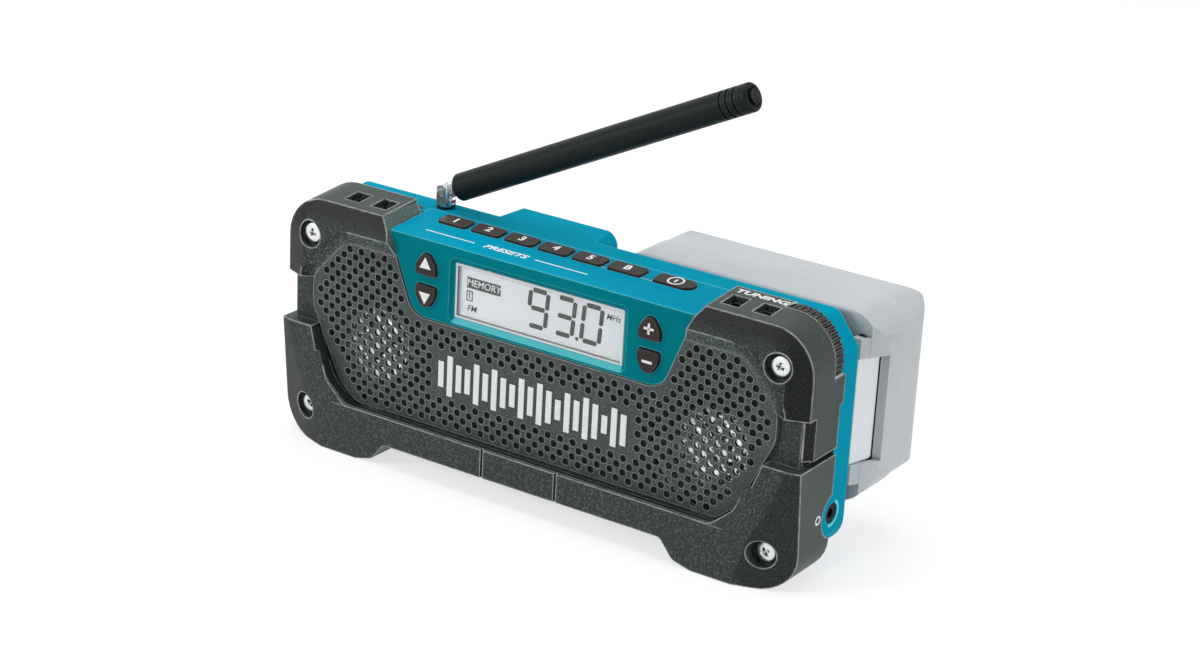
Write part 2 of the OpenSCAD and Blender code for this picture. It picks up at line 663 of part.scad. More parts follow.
// Holes at 45 degrees: clear of the grille's edge, of the control panel and of the pad
hole_step = hole_pitch / sqrt(2);
rows = floor((grille_top - grille_low - 3.9) / hole_step);
columns = ceil(grille_half / hole_step);
mask = [[grille_half - 25.2, grille_low + 2.2], [grille_half - 17.2, grille_low + 11.2],
        [grille_half - 2.7, grille_top - 28.8], [grille_half - 2.7, grille_top - 19.3],
        [grille_half - 9.2, grille_top - 9.3], [grille_half - 17.7, grille_top - 1.7]];
function left_of(p, a, b) = (b.x - a.x) * (p.y - a.y) - (b.y - a.y) * (p.x - a.x) > 0;
function in_mask(p) = min([for (i = [0:len(mask) - 2]) left_of(p, mask[i], mask[i + 1]) ? 1 : 0]) > 0;
module speaker_grille() {
    color([0.25, 0.26, 0.25]) place() along_y(0, grille_t) difference() {
        outline(grille_pts);
        outline(grown(panel_pts, fit));
        for (j = [0:rows], i = [-columns:columns]) {
            p = [i * hole_step, grille_top - 2.2 - j * hole_step];
            if ((i + j) % 2 != 0 && in_mask([abs(p.x), p.y])
                && !(p.y > panel_low - 2.4 && abs(p.x) < panel_edge(p.y) + 2.4)
                && !(abs(p.x) < pad_half - 2 && abs(p.y - pad_z) < pad_h / 2 - 0.6))
                translate(p) circle(d = hole_d, $fn = 16);
        }
    }
}

// ---- Display and boards ----

module lcd_lens() {
    color([0.8, 0.82, 0.82]) place() along_y(panel_y + lcd_set, panel_y + panel_t)
        plate(-lcd_w / 2 + 0.15, lcd_w / 2 - 0.15, lcd_z - lcd_h / 2 + 0.15, lcd_z + lcd_h / 2 - 0.15, 0.85);
}
module lcd_module() {
    color([0.7, 0.72, 0.7]) place() box([-lcd_w / 2 + 1.5, panel_y + panel_t + 0.3, lcd_z - lcd_h / 2 + 1.5],
                                        [lcd_w / 2 - 1.5, board_y - 1.5, lcd_z + lcd_h / 2 - 1.5]);
}
module lcd_holder() {
    color([0.1, 0.1, 0.1]) place() difference() {
        box([-lcd_w / 2 - 2.5, panel_y + panel_t, lcd_z - lcd_h / 2 - 1.6],
            [lcd_w / 2 + 2.5, board_y, lcd_z + lcd_h / 2 + 1.6]);
        box([-lcd_w / 2 + 1.5, 0, lcd_z - lcd_h / 2 + 1.5],
            [lcd_w / 2 - 1.5, board_y - 1.5, lcd_z + lcd_h / 2 - 1.5]);
    }
}
module front_board() {
    color([0.1, 0.35, 0.2]) place() along_y(board_y, board_y + board_t)
        plate(-key_x - 11.2, key_x + 11.2, lcd_z - 12, lcd_z + 12.6, 3);
}
module key_board() {
    color([0.1, 0.35, 0.2]) place() on_deck() translate([0, 0, -deck_board - board_t]) linear_extrude(board_t)
        plate(5.3 - panel_top, panel_top - 5.3, key_row - 7.6, key_row + 5.4, 2);
}
// A small tact switch, with its plunger towards the key
module tact(x, y) {
    translate([x - 3, y - 3, -deck_board]) cube([6, 6, switch_t - 0.8]);
    translate([x, y, -deck_board]) cylinder(h = switch_t, r = 1.6);
}
module front_switches() {
    color([0.3, 0.3, 0.3]) place() for (side = [-1, 1], up = [-1, 1]) {
        x = side * key_x;
        z = keys_z + up * key_pitch / 2;
        box([x - 3, board_y - switch_t + 0.6, z - 3], [x + 3, board_y, z + 3]);
        rod_y(x, z, 1.6, panel_y + key_end + switch_gap, board_y);
    }
}
module deck_switches() {
    color([0.3, 0.3, 0.3]) place() on_deck() {
        for (i = [1:presets]) tact(preset_pitch * (i - 1) - preset_x, key_row);
        tact(band_x, key_row);
        tact(power_x, key_row);
    }
}
module main_board() {
    color([0.1, 0.35, 0.2]) place() along_y(main_y, main_y + board_t) difference() {
        plate(-board_half, board_half, board_low, board_high, 2);
        for (p = rear_screw_places) translate(p) circle(d = rear_screw_d + 0.4);
    }
}
module board_parts() {
    color([0.35, 0.36, 0.38]) place() {
        box([-18, main_y + board_t, 40], [2, main_y + board_t + 6, 58]);             // tuner can
        for (x = [8, 20, 32]) rod_y(x, 50, 4, main_y + board_t, main_y + board_t + 8);    // capacitors
        // Heat sink of the amplifier
        box([8, main_y + board_t, 26], [30, main_y + board_t + 9, 36]);
        // Processor
        box([15.5 - board_half, main_y + board_t, 24], [27.5 - board_half, main_y + board_t + 1.6, 36]);
        // Sockets of the ribbon cables
        box([17.5 - board_half, main_y - 7, 52], [-10, main_y, 58]);
        box([12, main_y - 7, 52], [board_half - 15.5, main_y, 58]);
    }
}

// ---- Speakers ----

module speaker_basket() {
    difference() {
        union() {
            rod_y(0, 0, spk_d / 2, shell_y, shell_y + 1.4);
            translate([0, shell_y + 1.4, 0]) rotate([-90, 0, 0])
                cylinder(h = spk_deep - 9, r1 = spk_d / 2 - 1.6, r2 = 14);
        }
        translate([0, shell_y - e, 0]) rotate([-90, 0, 0])
            cylinder(h = spk_deep - 8.6, r1 = spk_d / 2 - 2.6, r2 = 13);
        rod_y(0, 0, 11, shell_y, shell_y + spk_deep);
    }
}
module speaker_cone() {
    difference() {
        union() {
            rod_y(0, 0, spk_d / 2 - 3.6, shell_y + 0.2, shell_y + 0.8);
            translate([0, shell_y + 0.5, 0]) rotate([-90, 0, 0])
                cylinder(h = spk_deep - 11.4, r1 = spk_d / 2 - 5.2, r2 = 10);
        }
        translate([0, shell_y + 0.19, 0]) rotate([-90, 0, 0])
            cylinder(h = spk_deep - 12, r1 = spk_d / 2 - 6, r2 = 9);
    }
}
module speaker_magnet() {
    rod_y(0, 0, 17, shell_y + spk_deep - 7.6, shell_y + spk_deep);
    rod_y(0, 0, 8, shell_y + spk_deep - 10, shell_y + spk_deep - 7.6);
}
module speaker_left_basket() { color([0.45, 0.45, 0.46]) place() translate([-spk_x, 0, spk_z])
    speaker_basket(); }
module speaker_right_basket() { color([0.45, 0.45, 0.46]) place() translate([spk_x, 0, spk_z])
    speaker_basket(); }
module speaker_left_cone() { color([0.12, 0.12, 0.12]) place() translate([-spk_x, 0, spk_z]) speaker_cone(); }
module speaker_right_cone() { color([0.12, 0.12, 0.12]) place() translate([spk_x, 0, spk_z]) speaker_cone(); }
module speaker_left_magnet() { color([0.5, 0.5, 0.52]) place() translate([-spk_x, 0, spk_z])
    speaker_magnet(); }
module speaker_right_magnet() { color([0.5, 0.5, 0.52]) place() translate([spk_x, 0, spk_z])
    speaker_magnet(); }

// ---- Screws ----

module front_screws() {
    color([0.15, 0.15, 0.16]) place() screw_places() difference() {
        union() {
            rod_y(0, 0, screw_head / 2, seat_y - 1.4, seat_y);
            rod_y(0, 0, screw_d / 2, seat_y - e, post_y - 2);
        }
        rod_y(0, 0, 1.6, seat_y - 2, seat_y - 0.4);
    }
}
module rear_screws() {
    color([0.5, 0.5, 0.5]) place() for (p = rear_screw_places) {
        rod_y(p.x, p.y, rear_screw_d, inner_back - 1, inner_back + 0.8);
        rod_y(p.x, p.y, rear_screw_d / 2, shell_y + 5, inner_back - 0.9);
    }
}

// ---- Keys ----

// A pointed arch, with its foot towards the other key of its pair
key_pts = [[key_w / 2, key_gap / 2, 0.8], [key_w / 2, key_gap / 2 + key_h * 0.48, 5],
    [0, key_gap / 2 + key_h + 2.1, 3],
           [-key_w / 2, key_gap / 2 + key_h * 0.48, 5], [-key_w / 2, key_gap / 2, 0.8]];
module front_key_outline(side, up, grow) {
    translate([side * key_x, keys_z]) scale_z(up) outline(grown(key_pts, grow));
}
module scale_z(up) { if (up > 0) children(); else mirror([0, 1]) children(); }
module front_key(side, up) {
    color([0.2, 0.19, 0.18]) place() {
        along_y(panel_y - front_proud, panel_y + key_in + 0.5) front_key_outline(side, up, 0);
        along_y(panel_y + key_in, panel_y + key_in + 1) front_key_outline(side, up, key_lip);
        rod_y(side * key_x, keys_z + up * key_pitch / 2, 2.4, panel_y + key_in + 0.9, panel_y + key_end);
    }
}
module key_up() { front_key(-1, 1); }
module key_down() { front_key(-1, -1); }
module key_plus() { front_key(1, 1); }
module key_minus() { front_key(1, -1); }

module deck_key_outline(x, w, r, grow) {
    d = preset_d / 2 + grow;
    outline([[x + w / 2 + grow, key_row - d, r + grow], [x + w / 2 + grow, key_row + d, r + grow],
             [x - w / 2 - grow, key_row + d, 1.4 + grow], [x - w / 2 - grow, key_row - d, 1.4 + grow]]);
}
module deck_key(x, w, r) {
    color([0.2, 0.19, 0.18]) place() on_deck() {
        translate([0, 0, -key_in - 0.5]) linear_extrude(key_in + 0.5 + key_proud)
            deck_key_outline(x, w, r, 0);
        translate([0, 0, -key_in - 1]) linear_extrude(1) deck_key_outline(x, w, r, key_lip);
        translate([x, key_row, -key_end]) cylinder(h = key_end - key_in - 0.9, r = 2.4);
    }
}
module key_preset_1() { deck_key(preset_pitch * 0 - preset_x, preset_w, 1.4); }
module key_preset_2() { deck_key(preset_pitch * 1 - preset_x, preset_w, 1.4); }
module key_preset_3() { deck_key(preset_pitch * 2 - preset_x, preset_w, 1.4); }
module key_preset_4() { deck_key(preset_pitch * 3 - preset_x, preset_w, 1.4); }
module key_preset_5() { deck_key(preset_pitch * 4 - preset_x, preset_w, 1.4); }
module key_band() { deck_key(band_x, band_w, 1.4); }
module key_power() { deck_key(power_x, power_w, 3.5); }

// ---- Tuning wheel and its encoder ----

module tuning_wheel() {
    color([0.16, 0.16, 0.16]) place() translate([wheel_x, bumper_d, wheel_z]) rotate([90, 0, 0])
        linear_extrude(wheel_w) difference() {
        union() {
            circle(r = wheel_r - 0.6, $fn = 96);
            for (i = [1:wheel_ridges]) rotate(360 / wheel_ridges * i) translate([wheel_r - 1.4, -0.6])
                square([1.4, 1.2]);
        }
        circle(r = encoder_r);
    }
}
module encoder_shaft() {
    color([0.7, 0.7, 0.7]) place() rod_y(wheel_x, wheel_z, encoder_r, wheel_y + 0.8, encoder_y + 2);
}
module encoder_body() {
    color([0.3, 0.32, 0.35]) place() difference() {
        box([wheel_x - 5.8, encoder_y, wheel_z - 5.8], [wheel_x + 5.8, inner_back, wheel_z + 5.8]);
        rod_y(wheel_x, wheel_z, encoder_r + 0.1, encoder_y - 1, encoder_y + 2.2);
    }
}

// ---- Antenna ----

module at_pin() { translate([-ant_x, ant_y, pin_z]) children(); }
module raised() { at_pin() rotate([0, -ant_lift, 0]) children(); }

module antenna_base() {
    color([0.12, 0.12, 0.12]) place() {
        difference() {
            translate([-ant_x, ant_y, deck_z(ant_y) - 2]) cylinder(h = 3.1, r = 3.6);
            on_deck() box([-half, 0, -10], [half, 60, 0]);
        }
        translate([-ant_x, ant_y, deck_z(ant_y) - 10]) cylinder(h = 10.5, r = 2);
    }
}
module antenna_swivel() {
    color([0.7, 0.7, 0.72]) place() {
        translate([-ant_x, ant_y, collar_z]) cylinder(h = 1, r = ear_r);
        for (side = [-1, 1]) {
            y0 = side > 0 ? ant_y + tongue_t / 2 + 0.15 : ant_y - tongue_t / 2 - 0.15 - ear_t;
            difference() {
                intersection() {
                    union() {
                        rod_y(-ant_x, pin_z, ear_r, y0, y0 + ear_t);
                        box([-ant_x - ear_r, y0, collar_z], [-ant_x + ear_r, y0 + ear_t, pin_z]);
                    }
                    translate([-ant_x, ant_y, collar_z]) cylinder(h = 20, r = ear_r + 0.6);
                }
                rod_y(-ant_x, pin_z, ant_pin / 2, y0 - 1, y0 + ear_t + 1);
            }
        }
    }
}
module antenna_pin() {
    color([0.6, 0.6, 0.62]) place()
        rod_y(-ant_x, pin_z, ant_pin / 2, ant_y - tongue_t / 2 - ear_t, ant_y + tongue_t / 2 + ear_t);
}
module antenna_rod() {
    color([0.75, 0.75, 0.77]) place() raised() difference() {
        union() {
            rod_y(0, 0, ear_r - 0.2, -tongue_t / 2, tongue_t / 2);
            box([0, -tongue_t / 2, -2.2], [sleeve_from + 1, tongue_t / 2, 2.2]);
            rod_x(0, 0, 2.2, sleeve_from, ant_l - cap_l - 2);
        }
        rod_y(0, 0, ant_pin / 2 + 0.1, -5, 5);
    }
}
module antenna_sleeve() {
    color([0.1, 0.1, 0.11]) place() raised() difference() {
        union() {
            rod_x(0, 0, ant_d / 2, sleeve_from + 2.8, ant_l - cap_l);
            translate([sleeve_from + 1.6, 0, 0]) rotate([0, 90, 0])
                cylinder(h = 1.2 + e, r1 = ant_d / 2 - 1.2, r2 = ant_d / 2);
        }
        rod_x(0, 0, 2.2, 0, ant_l - cap_l + 1);
        for (i = [0:2]) rotate([0, 90, 0]) translate([0, 0, ant_l - cap_l - 9 + i * 3]) rotate_extrude()
            translate([ant_d / 2 - 0.5, 0]) square([2, 1]);
    }
}
module antenna_cap() {
    color([0.6, 0.6, 0.62]) place() raised() {
        rod_x(0, 0, ant_d / 2 - 0.4, ant_l - cap_l, ant_l - 1);
        rod_x(0, 0, 2.2, ant_l - cap_l - 2, ant_l - cap_l + 1);
        rod_x(0, 0, 3.2, ant_l - 1.1, ant_l);
    }
}

// ---- Sockets and terminals ----

module audio_jack() {
    color([0.1, 0.1, 0.1]) place() difference() {
        union() {
            rod_x(jack_y, jack_z, 4, half - strip_in - jack_l - 1.4, half - strip_in - 0.4);
            rod_x(jack_y, jack_z, 6, half - skirt_in - wall - 2, half - skirt_in - wall);
        }
        rod_x(jack_y, jack_z, jack_d / 2, half - strip_in - 0.4 - jack_l, half);
    }
}
module terminal_block() {
    color([0.1, 0.1, 0.1]) place() difference() {
        box([pack_in + 3, body_d, pack_z - blade_pitch - 4],
            [pack_in + 13, pack_y - 0.5, pack_z + blade_pitch + 4]);
        for (z = blade_z) box([pack_in + 4, body_d - e, pack_z + z - 0.5],
            [pack_in + 12, pack_y, pack_z + z + 0.5]);
    }
}
module terminal_blades() {
    color([0.75, 0.68, 0.4]) place() for (z = blade_z) {
        box([pack_in + 4, body_d + 0.2, pack_z + z - 0.5], [pack_in + 12, pack_y + 5.5, pack_z + z + 0.5]);
        box([pack_in + 7.2, inner_back - 3, pack_z + z - 0.5],
            [pack_in + 8.8, body_d + 0.3, pack_z + z + 0.5]);
    }
}

// ---- Battery pack ----

// The pack's case as a block, in from its sides by inset and from its rear face by inset - step
module pack_block(inset, y0, y1, step = 0) {
    i = inset;
    back = pack_back - i + step;
    low = pack_z - pack_h / 2 + i;
    high = pack_z + pack_h / 2 - i;
    intersection() {
        along_y(y0, y1) plate(pack_in + i, pack_out - i, low, high, pack_r - i);
        along_x(pack_in, pack_out) outline([
            [pack_y + i, low, 1.5], [back, low, pack_edge - i], [back, high, pack_edge - i],
                [pack_y + i, high, 1.5]]);
        linear_extrude(200) outline([
            [pack_in + i, pack_y + i, 1], [pack_out - cut_x - i, pack_y + i, 0],
                [pack_out - i, pack_y + cut_y + i / 2, 1],
            [pack_out - i, back, pack_edge + 3 - i], [pack_in + i, back, pack_edge + 3 - i]]);
    }
}
module pack_bosses(r, y0, y1) {
    for (p = pack_bosses) rod_y(p.x, pack_z + p.y, r, y0, y1);
}

module pack_base() {
    color([0.8, 0.82, 0.82]) place() difference() {
        union() {
            difference() {
                pack_block(0, pack_y, pack_seam);
                pack_block(pack_wall, pack_y + pack_wall, pack_seam + e);
            }
            // Lip over the corner of the radio
            translate([0, 0, pack_z - pack_h / 2 + pack_r - 5]) linear_extrude(pack_h - 2 * pack_r + 10)
                polygon([[pack_out - 9.5, body_d + 0.3], [pack_out - cut_x - 2.2, body_d + 0.3],
                    [pack_out - cut_x, pack_y + 0.3],
                         [pack_out - cut_x, pack_y + 1], [pack_out - 9.5, pack_y + 1]]);
            // Tongue between the rails
            box([rail_x, tongue_y, pack_z - rail_gap / 2 - lip_w + run],
                [rail_x + rail_l, lip_y - 0.2, pack_z + rail_gap / 2 + lip_w - run]);
            box([rail_x, tongue_y, pack_z - rail_gap / 2 + run],
                [rail_x + rail_l, pack_y + 0.5, pack_z + rail_gap / 2 - run]);
            pack_bosses(pack_boss_r, pack_y + 1, pack_seam);
            // Wall behind the button's recess
            box([release_out + run, release_back + run, pack_z - release_h / 2 - 1],
                [pack_out - 1, release_back + release_travel + 3, pack_z + release_h / 2 + 1]);
            // Rest of the release spring
            box([release_in, pack_seam - 4, pack_z - 8], [pack_out - 1, pack_seam - 2, pack_z + 8]);
        }
        // Window and guide of the release button
        box([release_in - run - fit, body_d, pack_z - release_h / 2 - run],
            [release_out + run, release_back + release_travel + 0.6, pack_z + release_h / 2 + run]);
        box([release_out, body_d, pack_z - release_h / 2 - run],
            [pack_out + 5, release_back + run, pack_z + release_h / 2 + run]);
        // Slots for the blades, open at the inner end
        for (z = blade_z) box([pack_in - 1, pack_y - e, pack_z + z - 0.9],
            [pack_in + 13, pack_y + 6.5, pack_z + z + 0.9]);
        pack_bosses(1.4, pack_y - 1, pack_seam + e);
        pack_bosses(2.3, pack_y - 1, pack_y + 2);
    }
}
module pack_cover() {
    color([0.8, 0.82, 0.82]) place() difference() {
        union() {
            difference() {
                pack_block(pack_step, pack_seam, pack_back, pack_step);
                pack_block(pack_wall + pack_step, pack_seam - e, pack_back - pack_wall, pack_step);
            }
            intersection() {
                pack_block(pack_step, pack_seam, pack_back, pack_step);
                pack_bosses(pack_boss_r, pack_seam, pack_back - 1);
            }
        }
        pack_bosses(1.2, pack_seam - e, pack_seam + 12);
    }
}
module pack_cells() {
    color([0.3, 0.5, 0.3]) place() for (i = [0:cells - 1])
        translate([cells_x + (i - (cells - 1) / 2) * cell_pitch, cell_y, pack_z - cell_l / 2])
            cylinder(h = cell_l, r = cell_d / 2);
}
module cell_holder() {
    w = (cells * cell_pitch) / 2;
    color([0.15, 0.15, 0.15]) place() difference() {
        for (side = [-1, 1]) {
            z0 = side > 0 ? pack_z + holder_z : pack_z - holder_z - 4;
            box([cells_x - w, pack_y + pack_wall, z0], [cells_x + w - 3, cell_y + 8, z0 + 4]);
        }
        for (i = [0:cells - 1])
            translate([cells_x + (i - (cells - 1) / 2) * cell_pitch, cell_y, 0])
                cylinder(h = 200, r = cell_d / 2);
    }
}
module pack_board() {
    color([0.1, 0.35, 0.2]) place() difference() {
        box([pack_in + 8, pack_y + 7, pack_z - holder_z], [pack_out - 16, pack_y + 8.6, pack_z + holder_z]);
    }
}
module pack_contacts() {
    color([0.75, 0.68, 0.4]) place() for (z = blade_z, side = [-1, 1])
        box([pack_in + 3, pack_y + pack_wall, pack_z + z + (side > 0 ? 1 : -1.5)],
            [pack_in + 13, pack_y + 7, pack_z + z + (side > 0 ? 1.5 : -1)]);
}
module pack_screws() {
    color([0.5, 0.5, 0.5]) place() {
        pack_bosses(2.2, pack_y + 0.6, pack_y + 2);
        pack_bosses(1.2, pack_y + 1.9, pack_seam + 10);
    }
}
module release_button() {
    color([0.85, 0.86, 0.86]) place() {
        translate([0, 0, pack_z - release_h / 2]) linear_extrude(release_h)
            polygon([[release_in, release_front], [pack_out - 6.6, release_front],
                [release_out, release_back - 2.5],
                     [release_out, release_back], [release_in, release_back]]);
    }
}
module release_spring() {
    color([0.7, 0.7, 0.7]) place()
        translate([(release_in + release_out) / 2, pack_seam - 4, pack_z]) rotate([90, 0, 0])
        difference() {
        cylinder(h = pack_seam - 4 - release_back, r = 3.2);
        translate([0, 0, -1]) cylinder(h = 40, r = 2.6);
    }
}

rear_housing();
front_frame();
control_panel();
speaker_grille();
upper_bumper_left();
upper_bumper_right();
lower_bumper();
rear_feet();
lcd_lens();
lcd_module();
lcd_holder();
front_board();
key_board();
front_switches();
deck_switches();
main_board();
board_parts();
speaker_left_basket();
speaker_left_cone();
speaker_left_magnet();
speaker_right_basket();
speaker_right_cone();
speaker_right_magnet();
front_screws();
rear_screws();
key_up();
key_down();
key_plus();
key_minus();
key_band();
key_power();
key_preset_1();
key_preset_2();
key_preset_3();
key_preset_4();
key_preset_5();
tuning_wheel();
encoder_shaft();
encoder_body();
antenna_base();
antenna_swivel();
antenna_pin();
antenna_rod();
antenna_sleeve();
antenna_cap();
audio_jack();
terminal_block();
terminal_blades();
pack_base();
pack_cover();
pack_cells();
cell_holder();
pack_board();
pack_contacts();
pack_screws();
release_button();
release_spring();
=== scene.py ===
"""Compact jobsite radio with a slide-on battery pack: finishes, printed marks and small parts.

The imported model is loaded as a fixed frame. Everything here is placed from its boxes, in metres,
with X to the right, Y to the rear and Z up.
"""

import math

import bpy
from bpy.props import FloatProperty, FloatVectorProperty, IntProperty, PointerProperty
from mathutils import Matrix, Vector


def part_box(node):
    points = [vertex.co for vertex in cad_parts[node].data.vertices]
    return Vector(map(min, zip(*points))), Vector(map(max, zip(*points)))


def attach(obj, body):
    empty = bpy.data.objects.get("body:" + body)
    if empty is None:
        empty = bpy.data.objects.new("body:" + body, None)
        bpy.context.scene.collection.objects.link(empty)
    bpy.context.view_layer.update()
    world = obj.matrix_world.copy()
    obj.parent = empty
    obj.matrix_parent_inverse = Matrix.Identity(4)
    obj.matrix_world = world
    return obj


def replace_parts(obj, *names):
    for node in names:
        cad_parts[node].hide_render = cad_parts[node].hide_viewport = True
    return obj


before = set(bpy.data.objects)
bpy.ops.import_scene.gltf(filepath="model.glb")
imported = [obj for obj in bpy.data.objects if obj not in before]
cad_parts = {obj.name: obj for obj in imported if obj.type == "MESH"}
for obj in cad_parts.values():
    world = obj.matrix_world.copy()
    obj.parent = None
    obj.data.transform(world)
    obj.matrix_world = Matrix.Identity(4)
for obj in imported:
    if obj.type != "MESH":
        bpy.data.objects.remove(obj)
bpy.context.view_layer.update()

bl_info = {
    "name": "Jobsite Radio",
    "version": (1, 0, 0),
    "blender": (4, 5, 0),
    "location": "View3D > Sidebar > Radio",
    "description": "Finishes the parts of a jobsite radio and adds its marks, screws and stage",
    "category": "Object",
}

MM = 0.001

# The radio's own origin: the middle of the grille's face, on the floor
GRILLE_LOW, GRILLE_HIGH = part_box("speaker_grille")
ORIGIN = Vector(((GRILLE_LOW.x + GRILLE_HIGH.x) / 2, GRILLE_LOW.y, 0))
PANEL_LOW, PANEL_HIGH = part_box("control_panel")
KEY_LIP = 1 * MM                # how far a key's hidden lip reaches past its cap
KEY_HALF_DEPTH = 3.6 * MM       # half the depth of a deck key's cap
SCREW_HEIGHT = 1.4 * MM         # from the seat of a front screw's head to its top
POINT = 1e-6                    # radius of a ring that closes to a point
CLOSE_POINT = 5e-6              # distance that merges such a ring's vertices


def srgb(red, green, blue):
    """A colour given as 0 to 255 on screen, as the linear values that shaders take."""
    def linear(value):
        share = value / 255
        return share / 12.92 if share <= 0.04045 else ((share + 0.055) / 1.055) ** 2.4
    return (linear(red), linear(green), linear(blue))


# ---- Settings ----


def length(name, description, default):
    return FloatProperty(
        name=name, description=description, default=default * MM, unit="LENGTH", precision=5)


def colour(name, description, default):
    return FloatVectorProperty(
        name=name, description=description, default=srgb(*default), subtype="COLOR", size=3, min=0, max=1)


class RadioSizes(bpy.types.PropertyGroup):
    edge: length("Moulded edge", "Width of the rounding on the edges of moulded parts", 0.45)
    fine_edge: length("Fine edge", "Width of the rounding on keys, lenses and metal parts", 0.25)
    print_height: length("Print height", "Thickness of printed marks", 0.06)
    deck_depth: length("Deck depth", "Depth of the button deck along its slope", 25)
    deck_slope: FloatProperty(
        name="Deck slope", description="Rise of the button deck", default=math.radians(5), subtype="ANGLE")
    key_row: length("Key row", "Distance of the middle of the deck keys from the deck's front edge", 19.2)
    key_proud: length("Key height", "Height of the keys above their surround", 1)
    segment_length: length("Segment length", "Length of a segment of a display digit", 6.5)
    segment_width: length("Segment width", "Width of a segment of a display digit", 1.9)
    digit_pitch: length("Digit pitch", "Distance between the digits of the display", 12.1)
    screw_head: length("Screw head", "Diameter of the front screws' heads", 8.6)
    motif_bars: IntProperty(
        name="Motif bars", description="Number of bars in the grille's motif", default=21, min=3)
    motif_width: length("Motif width", "Width of the grille's motif", 88)
    motif_height: length("Motif height", "Height of the tallest bar of the motif", 18)
    floor_size: length("Floor", "Size of the floor", 6000)


class RadioColours(bpy.types.PropertyGroup):
    shell: colour("Shell", "Teal of the rear housing", (0, 156, 186))
    panel: colour("Panel", "Teal of the button deck", (0, 154, 188))
    # The front's deeper teal is painted shade on the same teal as the deck
    panel_front: colour("Panel front", "Deeper teal of the control panel's front", (2, 130, 142))
    # Pale cyan on the teal parts' edges: painted highlight
    teal_edge: colour("Teal edge", "Pale cyan of the teal parts' edges", (110, 222, 232))
    bumper: colour("Bumper", "Charcoal of the bumpers", (56, 66, 64))
    # Lighter edges of the bumpers: partly wear, partly painted highlight
    bumper_worn: colour("Bumper edge", "Lighter edges of the bumpers", (196, 198, 194))
    grille: colour("Grille", "Charcoal of the speaker grille", (76, 84, 83))
    key: colour("Key", "Dark brown-grey of the keys", (60, 54, 51))
    display: colour("Display", "Light grey of the display", (184, 188, 190))
    segment: colour("Segment", "Near-black of the display's digits", (36, 38, 37))
    print_white: colour("Print", "White of the printed marks", (238, 240, 240))
    sleeve: colour("Sleeve", "Black of the antenna sleeve", (26, 33, 32))
    pack: colour("Pack", "Pale grey of the battery pack", (198, 204, 208))
    pack_button: colour("Release button", "White of the release button", (243, 247, 250))


# ---- Modelling helpers ----


def set_all(item, **settings):
    for name, value in settings.items():
        setattr(item, name, value)
    return item


def deselect_all():
    if bpy.context.object and bpy.context.object.mode == "EDIT":
        bpy.ops.object.mode_set(mode="OBJECT")
    bpy.ops.object.select_all(action="DESELECT")


def take_up(piece):
    """Makes the piece the only selected object, and the active one."""
    deselect_all()
    piece.select_set(True)
    bpy.context.view_layer.objects.active = piece


def added(add, **settings):
    """A new primitive, with its place in its mesh."""
    deselect_all()
    add(**settings)
    bpy.ops.object.transform_apply(location=True, rotation=True, scale=True)
    return bpy.context.object


def block(low, high):
    """A box between two corners."""
    return added(bpy.ops.mesh.primitive_cube_add, size=1, location=(low + high) / 2, scale=high - low)


def slab(width, height, thick):
    """A box with its middle at the origin."""
    half_size = Vector((width, height, thick)) / 2
    return block(-half_size, half_size)


def prism(vertices, radius, depth):
    """A prism or a cylinder along Z, with its middle at the origin."""
    return added(bpy.ops.mesh.primitive_cylinder_add, vertices=vertices, radius=radius, depth=depth)


def tidy_mesh(piece, merge=1e-6):
    """Merges doubled vertices and turns the faces outwards."""
    take_up(piece)
    bpy.ops.object.mode_set(mode="EDIT")
    bpy.ops.mesh.select_all(action="SELECT")
    bpy.ops.mesh.remove_doubles(threshold=merge)
    bpy.ops.mesh.normals_make_consistent(inside=False)
    bpy.ops.object.mode_set(mode="OBJECT")
    return piece


def turned(profile, vertices=48):
    """A part turned about Z: rings of (radius, height), closed where a radius is nought."""
    radius, height = max(profile[0][0], POINT), profile[0][1]
    ring = bpy.ops.mesh.primitive_circle_add
    piece = added(ring, vertices=vertices, radius=radius, location=(0, 0, height))
    bpy.ops.object.mode_set(mode="EDIT")
    bpy.ops.mesh.select_mode(type="VERT")
    bpy.ops.mesh.select_all(action="SELECT")
    for next_radius, next_height in profile[1:]:
        next_radius = max(next_radius, POINT)
        bpy.ops.mesh.extrude_region_move(TRANSFORM_OT_translate={"value": (0, 0, next_height - height)})
        factor = next_radius / radius
        bpy.ops.transform.resize(value=(factor, factor, 1), center_override=(0, 0, next_height))
        radius, height = next_radius, next_height
    return tidy_mesh(piece, CLOSE_POINT)


def edit_picked(piece, kind, wanted, step):
    """Runs an edit-mode step on the faces or vertices that a test picks."""
    take_up(piece)
    bpy.ops.object.mode_set(mode="EDIT")
    bpy.ops.mesh.select_mode(type=kind)
    bpy.ops.mesh.select_all(action="DESELECT")
    bpy.ops.object.mode_set(mode="OBJECT")
    for item in piece.data.polygons if kind == "FACE" else piece.data.vertices:
        item.select = wanted(item)
    bpy.ops.object.mode_set(mode="EDIT")
    step()
    bpy.ops.object.mode_set(mode="OBJECT")


def add_modifier(piece, name, kind, **settings):
    return set_all(piece.modifiers.new(name, kind), **settings)


def applied(piece, name, kind, **settings):
    """The piece, with a modifier applied to it."""
    take_up(piece)
    bpy.ops.object.modifier_apply(modifier=add_modifier(piece, name, kind, **settings).name)
    return piece


def cut(piece, cutter):
    """Takes the cutter away from the piece."""
    applied(piece, "Cut", "BOOLEAN", operation="DIFFERENCE", solver="EXACT", object=cutter)
    bpy.data.objects.remove(cutter)
    return piece


def bevelled(piece, width, segments=2, angle=35):
    """Rounds the piece's sharp edges for good."""
    return applied(piece, "Edges", "BEVEL", width=width, segments=segments, limit_method="ANGLE",
                   angle_limit=math.radians(angle))


def smoothed(piece):
    take_up(piece)
    bpy.ops.object.shade_smooth_by_angle(angle=math.radians(35))
    return piece


def placed(piece, matrix):
    """Moves the piece's mesh; its object stays at the origin."""
    piece.data.transform(matrix)
    piece.data.update()
    return piece


